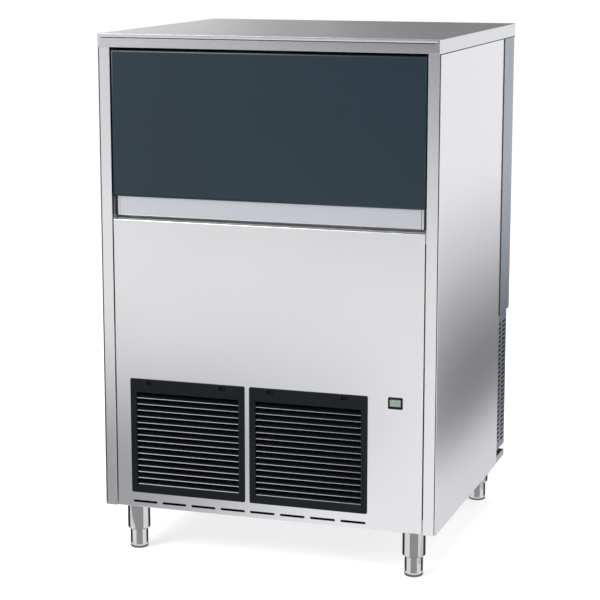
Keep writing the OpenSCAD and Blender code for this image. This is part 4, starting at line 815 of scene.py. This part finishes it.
for node in ("grille_left", "grille_right"):
    low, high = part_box(node)
    hole_low, hole_high = (low.x + BAND, low.z + FOOT_BAND), (high.x - BAND, high.z - HEAD_BAND)
    rim = build_rim(low, high, hole_low, hole_high)
    upright = [e for e in rim.edges if is_corner(e) and abs(e.verts[0].co.y - e.verts[1].co.y) > MM]
    bmesh.ops.bevel(rim, geom=upright, offset=RIM_CORNER, segments=4, profile=0.5, affect="EDGES")
    round_edges(rim, RIM_EDGE, 3, lambda e: is_front_edge(e, low.y))
    notches = bmesh.new()
    notch_top = high.z - NOTCH_DOWN
    for notch_x in (low.x + NOTCH_LEFT, high.x - NOTCH_RIGHT):
        add_box(notches, (notch_x, low.y - PAST, notch_top - NOTCH_H),
                (notch_x + NOTCH_W, low.y + NOTCH_DEEP, notch_top))
    bmesh.ops.recalc_face_normals(notches, faces=notches.faces)
    rim = cut_away(rim, notches)
    pitch = (hole_high[1] - hole_low[1]) / SLATS
    depth = high.y - low.y
    blade = build_blade(hole_low[0] - BLADE_LAP, hole_high[0] + BLADE_LAP, low.y + BLADE_BACK,
                        hole_low[1] + BLADE_UP, depth - 2 * BLADE_BACK, pitch - BLADE_OPEN,
                        BLADE_THICK, NOSE_LEAN)
    one_blade = linked_object("row_blade", mesh_of("row_blade", blade))
    blades = run_tree(one_blade, row_tree, Count=SLATS, Pitch=(0, 0, pitch), Finish=blade_black)
    add_piece(node + "_rim", rim, grille_black, node)
    add_piece(node + "_louvre", blades, blade_black, body="cabinet", slot="black_plastic")
    print(node, "blades:", SLATS, "pitch and depth in mm:", round(pitch / MM, 2), round(depth / MM, 1))

# %% [markdown]
# ## Door and handle strip
# The door is a deep moulding with softly rounded edges, and the strip along its foot is a satin
# extrusion set back from the door's face, with a small cap at each end. The moulding only needs its last
# sharp edges eased. The strip is a box with a rounded upper edge, because that edge catches a bright line.

# %% Door shell, strip and end caps
DOOR_EDGE, STRIP_EDGE, CAP_EDGE = 0.6 * MM, 1.8 * MM, 1.2 * MM
CAP, CAP_GAP, LONG = 5 * MM, 0.5 * MM, 500 * MM
shell = clean_copy("door_shell")
print("door edges eased:", round_edges(shell, DOOR_EDGE, 2, lambda e: is_corner(e, 50)))
add_piece("door_moulding", shell, door_slate, "door_shell")

low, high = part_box("door_strip")
strip = bmesh.new()
add_box(strip, (low.x + CAP + CAP_GAP, low.y, low.z), (high.x - CAP - CAP_GAP, high.y, high.z))
bmesh.ops.recalc_face_normals(strip, faces=strip.faces)
long_edges = [e for e in strip.edges if e.calc_length() > LONG and e.verts[0].co.y < low.y + WELD]
bmesh.ops.bevel(strip, geom=long_edges, offset=STRIP_EDGE, segments=4, profile=0.5, affect="EDGES")
add_piece("door_strip_satin", strip, strip_satin, "door_strip")
for side, x0 in (("left", low.x), ("right", high.x - CAP)):
    cap = bmesh.new()
    add_box(cap, (x0, low.y, low.z), (x0 + CAP, high.y, high.z))
    bmesh.ops.recalc_face_normals(cap, faces=cap.faces)
    round_edges(cap, CAP_EDGE, 3, is_corner)
    add_piece("door_strip_cap_" + side, cap, strip_satin, body="door", slot="strip_aluminium")
print("strip in mm:", [round(v / MM, 1) for v in high - low])

# %% [markdown]
# ## Switch, legs and small parts
# The bezel, the rocker, the leg sleeves and the feet are right in shape but too sharp. All their corners
# are rounded by a millimetre or so, which is all that a moulding or a turned part needs.

# %% Rounded small parts
SMALL = {  # solid: (finish, radius in mm, steps, least angle)
    "switch_body": (grille_black, 0.7, 3, 50),
    "switch_rocker": (rocker_glow, 0.5, 2, 25),
    "leg_sleeves": (steel_polished, 1.2, 3, 40),
    "foot_front_left": (steel_polished, 1.0, 3, 60),
    "foot_front_right": (steel_polished, 1.0, 3, 60),
    "foot_rear_left": (steel_polished, 1.0, 3, 60),
    "foot_rear_right": (steel_polished, 1.0, 3, 60),
}
for node, (part_finish, radius, steps, least) in SMALL.items():
    part = clean_copy(node)
    count = round_edges(part, radius * MM, steps, lambda e: is_corner(e, least))
    add_piece(node + "_rounded", part, part_finish, node)
    print(node, "edges rounded:", count)

# %% [markdown]
# ## Painted shade in the lip's groove, dark strips at the seams, screws at the rear
# The front lip of the top has a fine groove all along it, which reads as a dark line. A groove of 0.6 mm
# is too shallow to be dark by itself, so a thin dark strip lies in it as painted shade. Thin dark strips
# also lie along the seam under the skirt of the top and the joint of each side panel with the rear cover.
# They lie on the panel but inside the skirt's overhang, so the machine gets no wider. The rear sheets are
# held by pan-head screws with a cross recess. One head is cut, and the scatter tree puts a copy on each
# place that the solid screws mark. Separate objects would do as well, but they would not be one mesh.

# %% Painted shade in the lip groove
GROOVE_SHADE_END, GROOVE_SHADE_BACK, GROOVE_SHADE_GAP = 0.2 * MM, 0.15 * MM, 0.1 * MM
# A thin dark strip in the groove stands in for the groove's shade: painted shade.
groove_shade = bmesh.new()
add_box(groove_shade, groove_low + Vector((GROOVE_SHADE_END, GROOVE_SHADE_BACK, GROOVE_SHADE_GAP)),
        groove_high - Vector((GROOVE_SHADE_END, 0, GROOVE_SHADE_GAP)))
bmesh.ops.recalc_face_normals(groove_shade, faces=groove_shade.faces)
add_piece("lip_bead", groove_shade, seal_rubber, body="cabinet", slot="rubber")
print("groove in mm:", [round(v / MM, 1) for v in groove_high - groove_low])

# %% Dark strips at the side seams
SEAM_OUT, SEAM_TALL, SEAM_BEFORE, SEAM_ON_COVER, SEAM_END = 1.0 * MM, 2.0 * MM, 5 * MM, 2 * MM, 4 * MM
top_low, top_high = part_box("top_panel")
cover_low, cover_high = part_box("rear_cover")
seam_top, seam_foot = top_low.z, top_low.z - SEAM_TALL
# Thin dark strips along the seam under the top's skirt and along each side panel's joint with the rear cover.
seam_strips = bmesh.new()
for side in (-1, 1):
    x0, x1 = sorted((side * cover_high.x, side * (cover_high.x + SEAM_OUT)))
    add_box(seam_strips, (x0, top_low.y + SEAM_END, seam_foot), (x1, top_high.y - SEAM_END, seam_top))
    add_box(seam_strips, (x0, cover_low.y - SEAM_BEFORE, cover_low.z), (x1, cover_low.y + SEAM_ON_COVER, seam_foot))
bmesh.ops.recalc_face_normals(seam_strips, faces=seam_strips.faces)
add_piece("seam_seals", seam_strips, seal_rubber, body="cabinet", slot="rubber")
print("seals below z in mm:", round(seam_top / MM, 1))


# %% Screw heads
HEAD_R, HEAD_H, HEAD_STEPS = 4.5 * MM, 1.4 * MM, 32


def build_head(radius, height):
    """A pan head that faces the rear, with a cross cut into it."""
    profile = [(0.0, 0.0), (radius, 0.0), (radius, 0.45 * height),
               (0.86 * radius, 0.85 * height), (0.0, height)]
    bm = bmesh.new()
    rings = []
    for r, y in profile:
        turns = [math.tau * k / HEAD_STEPS for k in range(1 if r == 0 else HEAD_STEPS)]
        rings.append([bm.verts.new((r * math.cos(turn), y, r * math.sin(turn))) for turn in turns])
    for first, second in zip(rings, rings[1:]):
        for k in range(HEAD_STEPS):
            corners = [first[k % len(first)], first[(k + 1) % len(first)],
                       second[(k + 1) % len(second)], second[k % len(second)]]
            bm.faces.new(list(dict.fromkeys(corners)))
    bmesh.ops.recalc_face_normals(bm, faces=bm.faces)
    cross = bmesh.new()
    arm, half_slot = 0.55 * radius, 0.11 * radius
    add_box(cross, (-arm, 0.4 * height, -half_slot), (arm, 2 * height, half_slot))
    upright = bmesh.new()
    add_box(upright, (-half_slot, 0.4 * height, -arm), (half_slot, 2 * height, arm))
    for part in (cross, upright):
        bmesh.ops.recalc_face_normals(part, faces=part.faces)
    return cut_away(cut_away(bm, cross), upright)


def islands(bm):
    """The separate pieces of a mesh, each as a list of corner places."""
    left, found = set(bm.verts), []
    while left:
        group, edge = [], [left.pop()]
        while edge:
            vert = edge.pop()
            group.append(vert.co.copy())
            near = {e.other_vert(vert) for e in vert.link_edges} & left
            left -= near
            edge += near
        found.append(group)
    return found


screws = clean_copy("panel_screws")
places = []
for group in islands(screws):
    middle = [(min(c[k] for c in group) + max(c[k] for c in group)) / 2 for k in (0, 2)]
    places.append((middle[0], min(c.y for c in group), middle[1]))
screws.free()
spots = bpy.data.meshes.new("screw_places")
spots.from_pydata(places, [], [])
one_head = linked_object("screw_head", mesh_of("screw_head", build_head(HEAD_R, HEAD_H)))
heads = run_tree(linked_object("screw_places", spots), scatter_tree, Piece=one_head, Finish=steel_polished)
discard(one_head)
add_piece("panel_screw_heads", heads, steel_polished, "panel_screws")
print("screws:", len(places))

# %% [markdown]
# ## Size
# How far the dressed machine reaches out of the solid model's box on each side. The
# dressed machine must stay inside the solid model's box.

# %% Size and finish
seen_low, seen_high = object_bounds()
grown = [a - b for a, b in zip((*cad_low, *seen_high), (*seen_low, *cad_high))]
print("grown in mm:", [round(v / MM, 2) for v in grown])
